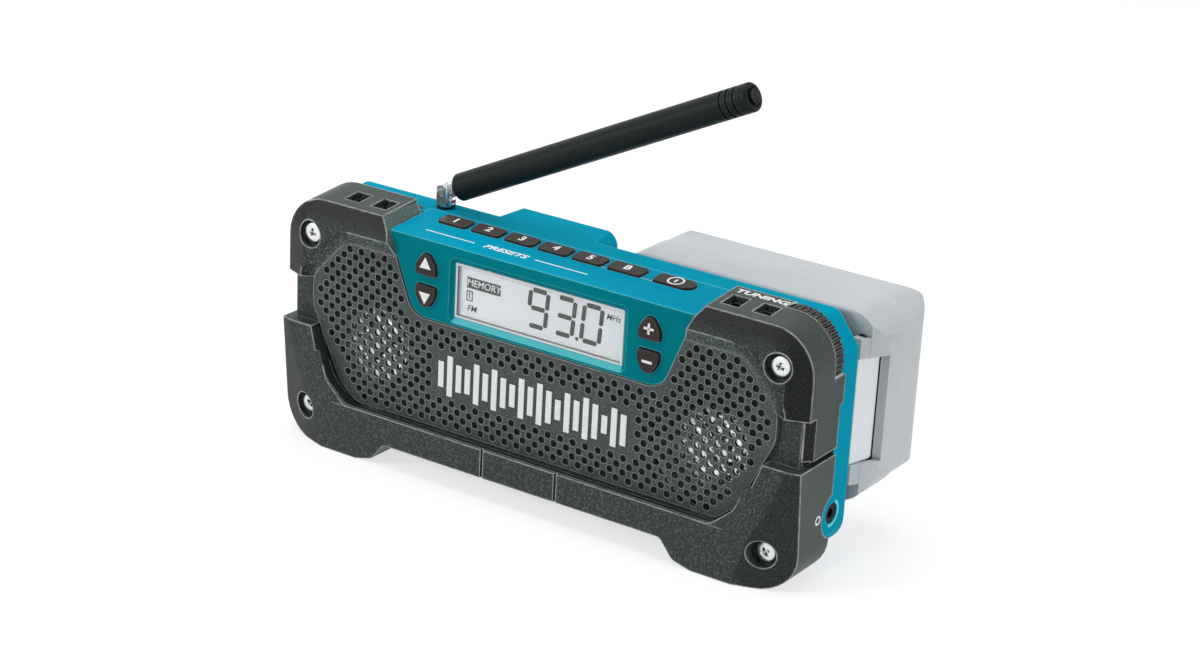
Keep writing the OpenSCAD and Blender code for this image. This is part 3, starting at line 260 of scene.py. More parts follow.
def copied(piece, matrix):
    """A copy with its own mesh, in its place."""
    twin = piece.copy()
    twin.data = piece.data.copy()
    bpy.context.scene.collection.objects.link(twin)
    return placed(twin, matrix)


def joined(parts):
    take_up(parts[0])
    for part in parts[1:]:
        part.select_set(True)
    bpy.ops.object.join()
    return parts[0]


def dressed(piece, finish):
    piece.data.materials.clear()
    piece.data.materials.append(MATERIALS[finish])
    return piece


def finished(name, piece, finish, body="radio"):
    """Names the piece, and gives it its finish and its body."""
    piece.name = name
    piece.data.name = name
    dressed(piece, finish)
    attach(piece, body)
    return piece


# ---- Places ----


def turn_by(degrees, axis="Z"):
    return Matrix.Rotation(math.radians(degrees), 4, axis)


def shift(x, y, z):
    return Matrix.Translation((x, y, z))


def deck_place(x, along, up=0.0):
    """A place on the button deck, with X to the right, Y up the slope and Z out of it."""
    sizes = bpy.context.scene.radio_sizes
    slope = Matrix.Rotation(sizes.deck_slope, 4, "X")
    edge = Vector((ORIGIN.x, PANEL_LOW.y, PANEL_HIGH.z - sizes.deck_depth * math.sin(sizes.deck_slope)))
    return Matrix.Translation(edge) @ slope @ shift(x, along, up)


def front_place(point):
    """A place on a face that looks forwards: the drawing's Z points to the front."""
    return Matrix.Translation(point) @ turn_by(90, "X")


def front_at(x, face_y, z):
    """The same, in millimetres from the radio's middle and up from the floor."""
    return front_place(Vector((ORIGIN.x + x * MM, face_y, z * MM)))


def side_at(face_x, y, z):
    """A place on the right side, in millimetres: the drawing's Z points to the right, its X to the rear."""
    point = Vector((face_x, ORIGIN.y + y * MM, z * MM))
    return Matrix.Translation(point) @ turn_by(90) @ turn_by(90, "X")


def front_middle(node):
    """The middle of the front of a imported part's box."""
    low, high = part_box(node)
    return Vector(((low.x + high.x) / 2, low.y, (low.z + high.z) / 2))


# ---- Nodes ----


def connect(tree, node, inputs):
    """Puts a value or another node's socket on each of the inputs that are named."""
    for name, value in inputs.items():
        if isinstance(value, bpy.types.NodeSocket):
            tree.links.new(value, node.inputs[name])
        else:
            node.inputs[name].default_value = value
    return node


def new_node(tree, kind, inputs=(), **settings):
    return connect(tree, set_all(tree.nodes.new(kind), **settings), dict(inputs))


def next_node(kind, inputs, **settings):
    """A node in the same tree as the sockets that lead to it."""
    inputs = dict(inputs)
    tree = next(value.id_data for value in inputs.values() if isinstance(value, bpy.types.NodeSocket))
    return new_node(tree, kind, inputs, **settings)


def math_node(operation, *values):
    """The result of a Math node; what goes in is a socket or a number, and at least one is a socket."""
    return next_node("ShaderNodeMath", enumerate(values), operation=operation).outputs[0]


def times(first, *others):
    for factor in others:
        first = math_node("MULTIPLY", first, factor)
    return first


def minus(first, second):
    return math_node("SUBTRACT", first, second)


def rest(share):
    """What a share leaves of one."""
    return minus(1.0, share)


def times_plus(value, factor, start):
    return math_node("MULTIPLY_ADD", value, factor, start)


def stretch(value, low, high):
    """Spreads the span from low to high over 0 to 1."""
    return next_node("ShaderNodeMapRange", {"Value": value, "From Min": low, "From Max": high},
                     interpolation_type="SMOOTHSTEP").outputs["Result"]


def within(value, low, high):
    """One between two limits, with short fades, and nought outside them."""
    fade = 1.5 * MM
    return minus(stretch(value, low, low + fade), stretch(value, high - fade, high))


def coordinates(tree, kind="Object"):
    return new_node(tree, "ShaderNodeTexCoord").outputs[kind]


def axes(tree, kind="Object"):
    """The X, Y and Z of where a point is, or of where its surface looks."""
    return new_node(tree, "ShaderNodeSeparateXYZ", {0: coordinates(tree, kind)}).outputs


def from_middle(where):
    """How far to either side of the radio's middle plane a point is."""
    return math_node("ABSOLUTE", minus(where["X"], ORIGIN.x))


def noise(tree, scale, detail, roughness):
    """Noise on Object coordinates."""
    inputs = {"Vector": coordinates(tree), "Scale": scale, "Detail": detail, "Roughness": roughness}
    return new_node(tree, "ShaderNodeTexNoise", inputs).outputs["Fac"]


def open_air(tree, reach, samples, low, high):
    """One on open faces, and nought in the piece's own creases and recesses."""
    shade = new_node(
        tree, "ShaderNodeAmbientOcclusion", {"Distance": reach}, samples=samples, only_local=True)
    return stretch(shade.outputs["AO"], low, high)


def scaled(base, factor):
    """The colour times a factor."""
    return next_node("ShaderNodeVectorMath", {0: base, "Scale": factor}, operation="SCALE").outputs[0]


def mixed(factor, *colours):
    """Goes from the first colour to the second with the factor."""
    first, second = (
        value if isinstance(value, bpy.types.NodeSocket) else (*value, 1) for value in colours)
    inputs = {"Factor": factor, 6: first, 7: second}
    return next_node("ShaderNodeMix", inputs, data_type="RGBA").outputs[2]


def bump(height, strength, depth):
    return next_node(
        "ShaderNodeBump", {"Strength": strength, "Distance": depth, "Height": height}).outputs["Normal"]


def blended(factor, first, second, output):
    """Goes from the first shader to the second with the factor, and leads to the tree's output."""
    mix = next_node("ShaderNodeMixShader", {0: factor, 1: first.outputs[0], 2: second.outputs[0]})
    tree = factor.id_data
    connect(tree, tree.nodes[output], {"Surface": mix.outputs[0]})


# ---- Effects that materials share ----


def new_group(name, inputs, *outputs):
    group = bpy.data.node_groups.new(name, "ShaderNodeTree")
    for socket_name, default in inputs.items():
        socket = group.interface.new_socket(socket_name, in_out="INPUT", socket_type="NodeSocketFloat")
        socket.default_value = default
    for socket_name in outputs:
        group.interface.new_socket(socket_name, in_out="OUTPUT", socket_type="NodeSocketFloat")
    return group, group.nodes.new("NodeGroupInput").outputs, group.nodes.new("NodeGroupOutput")


def moulded_grain():
    """Spark-eroded grain: a height for the bump, and a fine speckle of light and dark."""
    group, given, leave = new_group("Moulded grain", {"Scale": 1200}, "Height", "Speckle")
    coarse = noise(group, given["Scale"], 2, 0.6)
    fine = noise(group, times(given["Scale"], 2.7), 1, 0.5)
    connect(group, leave, {
        "Height": math_node("ADD", stretch(coarse, 0.35, 0.65), times(fine, 0.5)),
        "Speckle": stretch(coarse, 0.52, 0.62)})
    return group


def worn_edge():
    """A mask of the edges that stand out, for wear and painted highlights, broken up by noise, and a mask of
    the creases for painted shade.
    """
    group, given, leave = new_group(
        "Worn edge", {"Radius": 0.8 * MM, "Breaks": 260, "Broken": 1}, "Mask", "Crease")
    bevel = new_node(group, "ShaderNodeBevel", {"Radius": given["Radius"]}, samples=6)
    turn = new_node(group, "ShaderNodeVectorMath", {
        0: bevel.outputs["Normal"], 1: new_node(group, "ShaderNodeNewGeometry").outputs["Normal"]},
        operation="DOT_PRODUCT")
    bend = stretch(rest(turn.outputs["Value"]), 0.01, 0.08)
    air = open_air(group, 2 * MM, 4, 0.55, 0.9)
    breaks = stretch(noise(group, given["Breaks"], 3, 0.6), 0.3, 0.62)
    gaps = times(rest(breaks), given["Broken"])
    connect(group, leave, {"Crease": rest(air), "Mask": times(bend, air, rest(gaps))})
    return group


def mottle():
    """Slow, weak variation, as of handling and of the moulding's flow."""
    group, given, leave = new_group("Mottle", {"Scale": 30, "Low": 0.9, "High": 1.1}, "Value")
    cloud = stretch(noise(group, given["Scale"], 3, 0.6), 0.3, 0.7)
    span = minus(given["High"], given["Low"])
    connect(group, leave, {"Value": times_plus(cloud, span, given["Low"])})
    return group


def facet_shade():
    """Paints shade on the slanting facets between front and sides, and tells what looks forwards, and where
    the half-up brow takes a painted highlight.
    """
    group, given, leave = new_group("Facet shade", {"Darkness": 0.5}, "Value", "Forward", "Brow highlight")
    facing = axes(group, "Normal")
    across = math_node("ABSOLUTE", facing["X"])
    forward = times(facing["Y"], -1.0)
    aslant = minus(stretch(across, 0.12, 0.2), stretch(across, 0.8, 0.92))
    faces_front = stretch(forward, 0.25, 0.45)
    connect(group, leave, {
        "Value": rest(times(aslant, faces_front, given["Darkness"])),
        "Forward": faces_front,
        "Brow highlight": stretch(times(facing["Z"], 2.0, forward), 0.7, 0.92)})
    return group


EFFECTS = {
    "Moulded grain": moulded_grain, "Worn edge": worn_edge, "Mottle": mottle, "Facet shade": facet_shade}


def effect(tree, name, **values):
    """What one of the shared effects puts out; it is built when it is first needed."""
    group = bpy.data.node_groups.get(name) or EFFECTS[name]()
    return new_node(tree, "ShaderNodeGroup", values, node_tree=group).outputs


def lip_end_fade(tree):
    """Nought at the thin ends of the lower bumper's lip beside the grille, and one elsewhere."""
    where = axes(tree)
    beside = within(from_middle(where), 94 * MM, 101 * MM)
    return rest(times(beside, within(where["Z"], 33.5 * MM, 42.5 * MM)))


def crown_shade(tree, darkness):
    """Paints shade on the upper bumpers' outer facets towards the rim, and paints light on those that look
    inwards.
    """
    top, side, inner_end = (88.5 * MM, 96.5 * MM), (103 * MM, 111 * MM), (74 * MM, 78 * MM)
    half_grille = 70 * MM
    facing, where = axes(tree, "Normal"), axes(tree)
    forward = times(facing["Y"], -1.0)
    front = stretch(forward, 0.5, 0.7)
    slant = rest(stretch(forward, 0.93, 0.985))
    under = stretch(times(facing["Z"], -1.0), 0.15, 0.35)
    across = from_middle(where)
    rim = math_node("MAXIMUM", stretch(where["Z"], *top), stretch(across, *side))
    outer = times(front, slant, rest(under), times_plus(rim, 0.65, 0.35))
    inward = times(facing["X"], minus(where["X"], ORIGIN.x), -1 / half_grille)
    end = times(rest(stretch(across, *inner_end)), stretch(inward, 0.5, 0.8))
    painted_light = times_plus(times(front, under), 1.2, 1.05)
    return times_plus(outer, -darkness, times_plus(end, 1.8, painted_light))


# ---- Materials ----

MATERIALS = {}
WHITE = (1, 1, 1, 1)


def blank_material(name):
    material = bpy.data.materials.new(name)
    material.use_nodes = True
    return material, material.node_tree


def shaded(material, inputs):
    """The material, with these inputs on its shader."""
    tree = material.node_tree
    connect(tree, tree.nodes["Principled BSDF"], inputs)
    return material


def moulded_plastic(name, base, worn, wear_and_highlight, roughness=0.5, depth=0.12 * MM, grain=1500, speckle=0.15,
                    edge_width=0.9 * MM, gloss=0.22, facets=0.0, lip=False, crown=0.0):
    """Grained plastic with lighter edges for wear and painted highlights, and painted shade in creases;
    where they are given, painted shade on slanting facets, and painted light and shade on the upper bumpers'
    facets.
    """
    material, tree = blank_material(name)
    grains = effect(tree, "Moulded grain", Scale=grain)
    cloud = effect(tree, "Mottle", Scale=35, Low=0.92, High=1.08)["Value"]
    edge = effect(tree, "Worn edge", Radius=edge_width, Breaks=240, Broken=0.5)
    facing = effect(tree, "Facet shade", Darkness=facets)
    centred = times_plus(grains["Speckle"], speckle, -speckle / 4)
    light = times_plus(centred, times_plus(facing["Forward"], 0.7, 0.3), 1)
    tinted = scaled(scaled(base, times(cloud, light)), facing["Value"])
    if crown:
        tinted = scaled(tinted, crown_shade(tree, crown))
    # Painted shade: darker in creases and recesses
    tinted = scaled(tinted, times_plus(edge["Crease"], -0.6, 1))
    # The edge mask lightens the edges for wear and as painted highlight
    mask = times(edge["Mask"], wear_and_highlight)
    if lip:
        mask = times(mask, lip_end_fade(tree))
    return shaded(material, {
        "Specular IOR Level": gloss,
        "Base Color": mixed(mask, tinted, worn),
        "Roughness": times_plus(grains["Speckle"], 0.12, roughness - 0.04),
        "Normal": bump(grains["Height"], 0.5, depth)})


def smooth_plastic(name, base, roughness, edge_colour=None, wear_and_highlight=0.5, gloss=0.2, front_shade_colour=None):
    """Satin plastic with a trace of handling; where they are given, paler edges as painted highlights with
    painted shade in the creases, and a darker front as painted shade with a paler brow as painted highlight.
    """
    material, tree = blank_material(name)
    cloud = effect(tree, "Mottle", Scale=18, Low=0.95, High=1.05)["Value"]
    if front_shade_colour:
        facing = effect(tree, "Facet shade")
        # Painted shade: the forward faces take the deeper teal
        base = mixed(facing["Forward"], base, front_shade_colour)
        # Painted highlight along the brow between deck and front
        base = mixed(times(facing["Brow highlight"], 0.7), base, edge_colour)
    tinted = scaled(base, cloud)
    # Paler edges as painted highlight
    if edge_colour:
        edge = effect(tree, "Worn edge", Radius=0.9 * MM, Breaks=150, Broken=0.25)
        # Painted shade: darker in creases and recesses
        tinted = scaled(tinted, times_plus(edge["Crease"], -0.5, 1))
        tinted = mixed(times(edge["Mask"], wear_and_highlight), tinted, edge_colour)
    return shaded(material, {
        "Specular IOR Level": gloss,
        "Base Color": tinted,
        "Roughness": times_plus(cloud, 0.2, roughness - 0.2),
        "Normal": bump(effect(tree, "Moulded grain", Scale=900)["Height"], 0.35, 0.02 * MM)})


def brushed_metal(name, base, roughness, recess_shade_reach=0.0):
    """Metal with fine handling marks; painted shade darkens its recesses where their reach is given."""
    material, tree = blank_material(name)
    tone = effect(tree, "Mottle", Scale=150, Low=0.88, High=1.06)["Value"]
    # Painted shade in the recesses, from ambient occlusion
    if recess_shade_reach:
        air = open_air(tree, recess_shade_reach, 8, 0.5, 0.85)
        tone = times(tone, math_node("MAXIMUM", air, 0.03))
    marks = noise(tree, 900, 2, 0.5)
    return shaded(material, {
        "Metallic": 1,
        "Base Color": scaled(base, tone),
        "Roughness": times_plus(marks, 0.16, roughness - 0.08),
        "Normal": bump(marks, 0.15, 0.02 * MM)})


def display_glass(name):
    """Clear window that lets the lamps through to the display."""
    material, tree = blank_material(name)
    smudge = noise(tree, 60, 3, 0.6)
    shaded(material, {
        "Base Color": (0.97, 0.98, 0.98, 1), "Transmission Weight": 1, "IOR": 1.02, "Coat Weight": 0.5,
        "Coat Roughness": 0.04, "Roughness": times_plus(smudge, 0.06, 0.01)})
    shadow = new_node(tree, "ShaderNodeLightPath").outputs["Is Shadow Ray"]
    blended(shadow, tree.nodes["Principled BSDF"], new_node(tree, "ShaderNodeBsdfTransparent"),
            "Material Output")
    return material


def display_face(name, base):
    """The display's pale reflective layer, with faint rows of its electrodes."""
    material, tree = blank_material(name)
    rows = new_node(
        tree, "ShaderNodeTexWave", {"Vector": coordinates(tree), "Scale": 260}, bands_direction="Z")
    cloud = effect(tree, "Mottle", Scale=25, Low=0.97, High=1.03)["Value"]
    tone = times(times_plus(rows.outputs["Fac"], 0.03, 0.97), cloud)
    return shaded(material, {"Base Color": scaled(base, tone), "Roughness": 0.5})


def printed_ink(name, base):
    """Pad-printed ink, very slightly uneven, with a faint painted glow."""
    material, tree = blank_material(name)
    cloud = effect(tree, "Mottle", Scale=500, Low=0.93, High=1.0)["Value"]
    # The faint emission is a painted glow
    return shaded(material, {
        "Base Color": scaled(base, cloud), "Roughness": 0.45,
        "Emission Color": (*base, 1), "Emission Strength": 0.08})


def circuit_board(name):
    """Green lacquer over faint copper tracks."""
    material, tree = blank_material(name)
    tracks = new_node(tree, "ShaderNodeTexVoronoi", {"Vector": coordinates(tree), "Scale": 180},
                      feature="DISTANCE_TO_EDGE")
    mask = stretch(tracks.outputs["Distance"], 0.04, 0.1)
    return shaded(material, {
        "Base Color": mixed(mask, srgb(60, 120, 70), srgb(20, 80, 50)), "Roughness": 0.35,
        "Normal": bump(mask, 0.3, 0.03 * MM)})


def speaker_paper(name):
    """Dark paper, with painted glints about the cap that glow a little."""
    material, tree = blank_material(name)
    middle = front_middle("speaker_right_cone")
    where = axes(tree)
    across = minus(from_middle(where), middle.x - ORIGIN.x)
    up = minus(where["Z"], middle.z)
    distance = math_node("SQRT", times_plus(across, across, times(up, up)))
    near = rest(stretch(distance, 11 * MM, 17 * MM))
    # Painted glints, which also glow
    glints = times(stretch(noise(tree, 330, 3, 0.7), 0.44, 0.54), near)
    return shaded(material, {
        "Base Color": mixed(glints, srgb(34, 36, 36), srgb(246, 248, 248)), "Roughness": 0.5,
        "Emission Color": WHITE, "Emission Strength": times(glints, 0.55),
        "Normal": bump(glints, 0.2, 0.1 * MM)})


def build_materials(colours):
    """All finishes, by the record's slot names and by the names of the added ones."""
    bumper, worn, teal_edge = colours.bumper, colours.bumper_worn, colours.teal_edge
    metals = {
        "metal": ("Plain steel", srgb(170, 172, 176), 0.35),
        # The screw steel's last value is the reach of painted shade in its cross recess
        "screw_steel": ("Screw steel", srgb(222, 224, 226), 0.3, 1.2 * MM),
        "chrome": ("Chrome", srgb(215, 217, 220), 0.16),
        "brass": ("Brass", srgb(205, 180, 110), 0.3),
    }
    inks = {
        "print": ("White print", colours.print_white),
        # Painted highlights on the socket's rim and the deck's steps
        "teal_highlight_line": ("Painted teal highlight", teal_edge),
        "shade_line": ("Groove shade", srgb(20, 24, 25)),
        "highlight_line": ("Painted bumper highlight", srgb(128, 131, 128)),
        "segment": ("Display segments", colours.segment),
        "bezel": ("Display bezel", srgb(222, 225, 226)),
        "display_frame": ("Display frame", srgb(176, 180, 182)),
    }
    return {
        "shell": smooth_plastic("Teal shell", colours.shell, 0.45, teal_edge, 0.55, 0.01),
        "panel": smooth_plastic(
            "Teal panel", colours.panel, 0.4, teal_edge, 0.65, 0.01, colours.panel_front),
        # The upper bumpers take painted shade and painted light on their facets
        "bumper": moulded_plastic(
            "Bumper plastic", bumper, worn, 1, 0.42, speckle=1.9, edge_width=1 * MM, gloss=0.18, crown=0.88),
        # Painted shade on the lower bumper's slanting facets
        "lower_bumper": moulded_plastic(
            "Lower bumper plastic", bumper, worn, 1, 0.42, speckle=1.6, edge_width=1 * MM, gloss=0.25,
            facets=0.6, lip=True),
        "grille": moulded_plastic(
            "Grille plastic", colours.grille, worn, 0.8, speckle=0.8, edge_width=0.6 * MM),
        "frame": moulded_plastic("Frame plastic", bumper, worn, 0.5, speckle=1.2),
        "black_plastic": moulded_plastic(
            "Black plastic", srgb(26, 28, 28), srgb(70, 71, 71), 0.3, 0.5, 0.08 * MM, 1300, gloss=0.1),
        "rubber": moulded_plastic(
            "Sleeve rubber", colours.sleeve, srgb(90, 96, 96), 0.4, 0.42, 0.05 * MM, gloss=0.1),
        "wheel": moulded_plastic(
            "Wheel plastic", srgb(24, 26, 26), srgb(190, 190, 186), 0.9, 0.4, 0.04 * MM, edge_width=0.5 * MM,
            gloss=0.1),
        # Painted shade on the keys' slanting facets
        "key": moulded_plastic(
            "Key rubber", colours.key, srgb(118, 112, 108), 0.5, depth=0.05 * MM, gloss=0.1, facets=0.5),
        "cone": speaker_paper("Speaker cone"),
        "lcd_glass": display_glass("Display window"),
        "lcd": display_face("Display face", colours.display),
        "board": circuit_board("Circuit board"),
        "pack": smooth_plastic("Pack plastic", colours.pack, 0.35, srgb(238, 242, 245), gloss=0.12),
        "pack_button": smooth_plastic(
            "Button plastic", colours.pack_button, 0.3, srgb(250, 251, 252), gloss=0.15),
        "cell": smooth_plastic("Cell wrap", srgb(70, 130, 80), 0.3),
        **{key: brushed_metal(*values) for key, values in metals.items()},
        **{key: printed_ink(*values) for key, values in inks.items()},
    }


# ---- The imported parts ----

COVERS = ("rear_housing", "upper_bumper_left", "upper_bumper_right", "lower_bumper", "pack_base",
          "pack_cover", "control_panel", "release_button")
MOULDED = (*COVERS, "rear_feet")
# Parts with edges shorter than the rounding, which is kept within them
CLAMPED = (*COVERS, "antenna_rod", "antenna_swivel", "antenna_sleeve")
UNROUNDED = ("speaker_grille", "lcd_module", "board_parts", "pack_cells", "cell_holder", "front_frame",
             "front_switches", "deck_switches", "release_spring", "antenna_pin")
OWN_FINISH = {"front_frame": "frame", "lower_bumper": "lower_bumper", "lcd_holder": "display_frame"}


def smoothing_group():
    """Shades smoothly, but for edges that turn by more than an angle."""
    name = "Smooth by turn"
    if name in bpy.data.node_groups:
        return bpy.data.node_groups[name]
    group = bpy.data.node_groups.new(name, "GeometryNodeTree")
    for way in ("INPUT", "OUTPUT"):
        group.interface.new_socket("Geometry", in_out=way, socket_type="NodeSocketGeometry")
    group.is_modifier = True
    entry = group.nodes.new("NodeGroupInput")
    bare = new_node(
        group, "GeometryNodeRemoveAttribute", {"Geometry": entry.outputs[0], "Name": "custom_normal"})
    turn = new_node(group, "GeometryNodeInputMeshEdgeAngle").outputs["Unsigned Angle"]
    soft = new_node(group, "FunctionNodeCompare", {"A": turn, "B": math.radians(32)}, operation="LESS_THAN")
    faces = new_node(group, "GeometryNodeSetShadeSmooth", {"Geometry": bare.outputs["Geometry"]})
    edges = new_node(group, "GeometryNodeSetShadeSmooth", {
        "Geometry": faces.outputs["Geometry"], "Shade Smooth": soft.outputs["Result"]}, domain="EDGE")
    connect(group, group.nodes.new("NodeGroupOutput"), {0: edges.outputs["Geometry"]})
    return group


def soften_edges(part, width):
    """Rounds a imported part's edges with modifiers, and leaves its mesh as it is."""
    add_modifier(part, "Weld", "WELD", merge_threshold=0.002 * MM)
    if width:
        add_modifier(
            part, "Flat faces", "DECIMATE", decimate_type="DISSOLVE", angle_limit=math.radians(0.5))
        add_modifier(part, "Edges", "BEVEL", width=width, segments=2, limit_method="ANGLE",
                     angle_limit=math.radians(38), use_clamp_overlap=part.name in CLAMPED)
    add_modifier(part, "Smooth", "NODES", node_group=smoothing_group())
    if width:
        add_modifier(part, "Weighted", "WEIGHTED_NORMAL", keep_sharp=True)


class RADIO_OT_mix_materials(bpy.types.Operator):
    """Mixes every finish of the radio"""
    bl_idname = "radio.mix_materials"
    bl_label = "Mix Materials"

    def execute(self, context):
        MATERIALS.update(build_materials(context.scene.radio_colours))
        return {"FINISHED"}


class RADIO_OT_finish_parts(bpy.types.Operator):
    """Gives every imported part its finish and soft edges"""
    bl_idname = "radio.finish_parts"
    bl_label = "Finish Parts"

    def execute(self, context):
        sizes = context.scene.radio_sizes
        for name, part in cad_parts.items():
            slot_name = part.data.materials[0].name.split(".")[0]
            dressed(part, OWN_FINISH.get(name, slot_name))
            width = sizes.edge if name in MOULDED else sizes.fine_edge
            soften_edges(part, 0 if name in UNROUNDED else width)
        return {"FINISHED"}


# ---- Screws ----


def cross_bar(depth):
    """One bar of the tapering cross that a driver fits."""
    arm, width, overshoot = 2.6 * MM, 0.75 * MM, 1 * MM
    bar = block(Vector((-arm, -width, -depth)), Vector((arm, width, overshoot)))
    edit_picked(bar, "FACE", lambda face: face.normal.z < -0.9,
                lambda: bpy.ops.transform.resize(value=(0.35, 0.6, 1), center_override=(0, 0, -depth)))
    return bar


def screw_head(radius):
    """A pan-head screw along Z: the head's seat is at nought and the shank goes down."""
    shank, tip = 2 * MM, -13 * MM
    head = turned([
        (0, tip), (shank * 0.7, tip), (shank, tip + 1 * MM), (shank, 0), (radius, 0), (radius, 0.45 * MM),
        (radius * 0.93, 0.95 * MM), (radius * 0.78, 1.25 * MM), (radius * 0.5, 1.38 * MM),
        (0, SCREW_HEIGHT)], 40)
    for turn in (20, 110):
        cut(head, placed(cross_bar(1.3 * MM), shift(0, 0, SCREW_HEIGHT) @ turn_by(turn)))
    return smoothed(bevelled(head, 0.08 * MM, 1, 50))


class RADIO_OT_front_screws(bpy.types.Operator):
    """Adds the four cross-head screws that stand in the wells of the bumpers"""
    bl_idname = "radio.front_screws"
    bl_label = "Front Screws"

    def execute(self, context):
        low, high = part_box("front_screws")
        radius = context.scene.radio_sizes.screw_head / 2
        model = screw_head(radius)
        screws = []
        for x in (low.x + radius, high.x - radius):
            for z in (low.z + radius, high.z - radius):
                seat = front_place((x, low.y + SCREW_HEIGHT, z))
                screws.append(copied(model, seat @ turn_by(25 + 40 * len(screws))))
        bpy.data.objects.remove(model)
        piece = finished("screws_cross_head", joined(screws), "screw_steel")
        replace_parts(piece, "front_screws")
        return {"FINISHED"}


# ---- Marks, sized in millimetres ----


def print_height():
    return bpy.context.scene.radio_sizes.print_height


def lettering(words, height, weight, slant=0.0, stretching=1.0):
    """Raised letters in the XY plane, standing up Z, with their middle at the origin."""
    deselect_all()
    bpy.ops.object.text_add()
    set_all(bpy.context.object.data, body=words, size=height * MM / 0.7, extrude=print_height() / 2,
            offset=weight * height * MM, shear=slant, align_x="CENTER", align_y="CENTER")
    bpy.ops.object.convert(target="MESH")
    return placed(tidy_mesh(bpy.context.object), Matrix.Diagonal((stretching, 1, 1, 1)))


def arrow_mark(size, turn):
    return bevelled(placed(prism(3, size * MM, print_height()), turn_by(turn)), 0.15 * MM)


def bar_mark(width, height, thick=None):
    return bevelled(slab(width * MM, height * MM, thick or print_height()), 0.12 * MM, 2, 80)


def ring_mark(radius, width):
    """A flat ring, turned from its section."""
    outer, inner, top = (radius + width / 2) * MM, (radius - width / 2) * MM, print_height() / 2
    return turned([(inner, -top), (outer, -top), (outer, top), (inner, top), (inner, -top)])


def arc_mark(radius, width, start, end):
    """Part of a flat ring, between two angles in degrees that lie less than half a turn apart."""
    arc = ring_mark(radius, width)
    reach = radius * 2 * MM
    for turn in (start, end + 180):
        cut(arc, placed(block(Vector((-reach, -reach, -reach)), Vector((reach, 0, reach))), turn_by(turn)))
    return arc


def frame_mark(width, height, rim):
    """A flat frame with a rim of one width all round."""
    sheet = slab(width * MM, height * MM, print_height())
    return cut(sheet, slab((width - 2 * rim) * MM, (height - 2 * rim) * MM, 2 * MM))


def printed(name, drawing, matrix, ink="print", body="radio"):
    return finished(name, placed(drawing, matrix), ink, body)


# ---- Display ----

# A digit's segments: across in halves of its width, up in quarters of its height, and their turn
SEGMENTS = {
    "top": (0, 2, 0), "middle": (0, 0, 0), "bottom": (0, -2, 0),
    "upper_left": (-1, 1, 90), "upper_right": (1, 1, 90),
    "lower_left": (-1, -1, 90), "lower_right": (1, -1, 90),
}
DARK_SEGMENTS = {
    "0": ("top", "bottom", "upper_left", "upper_right", "lower_left", "lower_right"),
    "3": ("top", "middle", "bottom", "upper_right", "lower_right"),
    "9": ("top", "middle", "bottom", "upper_left", "upper_right", "lower_right"),
}
DIGIT_HALF_WIDTH = 3.95 * MM
DIGIT_QUARTER = 3.55 * MM
DIGIT_LEAN = math.radians(4.5)
# Places on the display are in millimetres: across from the radio's middle, and up from the floor
FIRST_DIGIT = (-0.9, 79.2)
POINT_PLACE = (17.0, 72.0)
MEMORY_PLACE = (-26, 81.9)
NUMBER_PLACE = (-32.4, 76.6)
CAPTIONS = ((("FM", 2.5, 0.01, 0.2), (-31.2, 71.6)), (("MHz", 2.3, 0.005, 0.2), (32.6, 84.0)),
            (("1", 2.6, 0.012), NUMBER_PLACE))


def display_segment(sizes):
    """One segment, with a short point at both ends, in the XY plane."""
    # The hexagon is 1 over its points, along X, and 0.866 over its flats, which 1.1547 brings to 1
    points, flats = sizes.segment_width * 1.1, sizes.segment_width * 1.1547
    hexagon = Matrix.Diagonal((points, flats, sizes.print_height, 1)) @ turn_by(30)
    segment = placed(prism(6, 0.5, 1), hexagon)
    half_stretch = (sizes.segment_length - points) / 2
    for side in (-1, 1):
        edit_picked(segment, "VERT", lambda vertex: vertex.co.x * side > 0,
                    lambda: bpy.ops.transform.translate(value=(side * half_stretch, 0, 0)))
    return bevelled(segment, 0.12 * MM)


class RADIO_OT_display(bpy.types.Operator):
    """Adds the digits, captions and bezel of the display"""
    bl_idname = "radio.display"
    bl_label = "Display"

    def execute(self, context):
        sizes = context.scene.radio_sizes
        thick = sizes.print_height
        face_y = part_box("lcd_module")[0].y - thick / 2

        def on_face(place):
            return front_at(place[0], face_y, place[1])

        lean = Matrix.Identity(4)
        lean[0][1] = math.tan(DIGIT_LEAN)
        model = display_segment(sizes)
        digits = []
        for count, digit in enumerate("930"):
            place = on_face((FIRST_DIGIT[0] + count * sizes.digit_pitch / MM, FIRST_DIGIT[1])) @ lean
            for name in DARK_SEGMENTS[digit]:
                across, up, turn = SEGMENTS[name]
                local = shift(across * DIGIT_HALF_WIDTH, up * DIGIT_QUARTER, 0) @ turn_by(turn)
                digits.append(copied(model, place @ local))
        bpy.data.objects.remove(model)
        digits.append(placed(prism(20, 0.75 * MM, thick), on_face(POINT_PLACE)))
        finished("display_digits", joined(digits), "segment")

        captions = [placed(lettering(*words), on_face(place)) for words, place in CAPTIONS]
        for box, place in ((slab(15.6 * MM, 4.4 * MM, thick), MEMORY_PLACE),
                           (frame_mark(2.9, 4.2, 0.45), NUMBER_PLACE)):
            captions.append(placed(bevelled(box, 0.25 * MM, 2, 80), on_face(place)))
        finished("display_captions", joined(captions), "segment")

        margin, rim, lift = 0.1, 0.8, Vector((0, -0.05 * MM, 0))
        low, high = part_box("lcd_lens")
        window = (high - low) / MM
        bezel = frame_mark(window.x - 2 * margin, window.z - 2 * margin, rim)
        printed("display_bezel", bevelled(bezel, 0.02 * MM, 1, 60),
                front_place(front_middle("lcd_lens") + lift), "bezel")
        printed("display_memory", lettering("MEMORY", 2.7, 0.012, 0.15),
                on_face(MEMORY_PLACE) @ shift(0, 0, thick), "lcd")
        return {"FINISHED"}


# ---- Keys, deck and grille ----


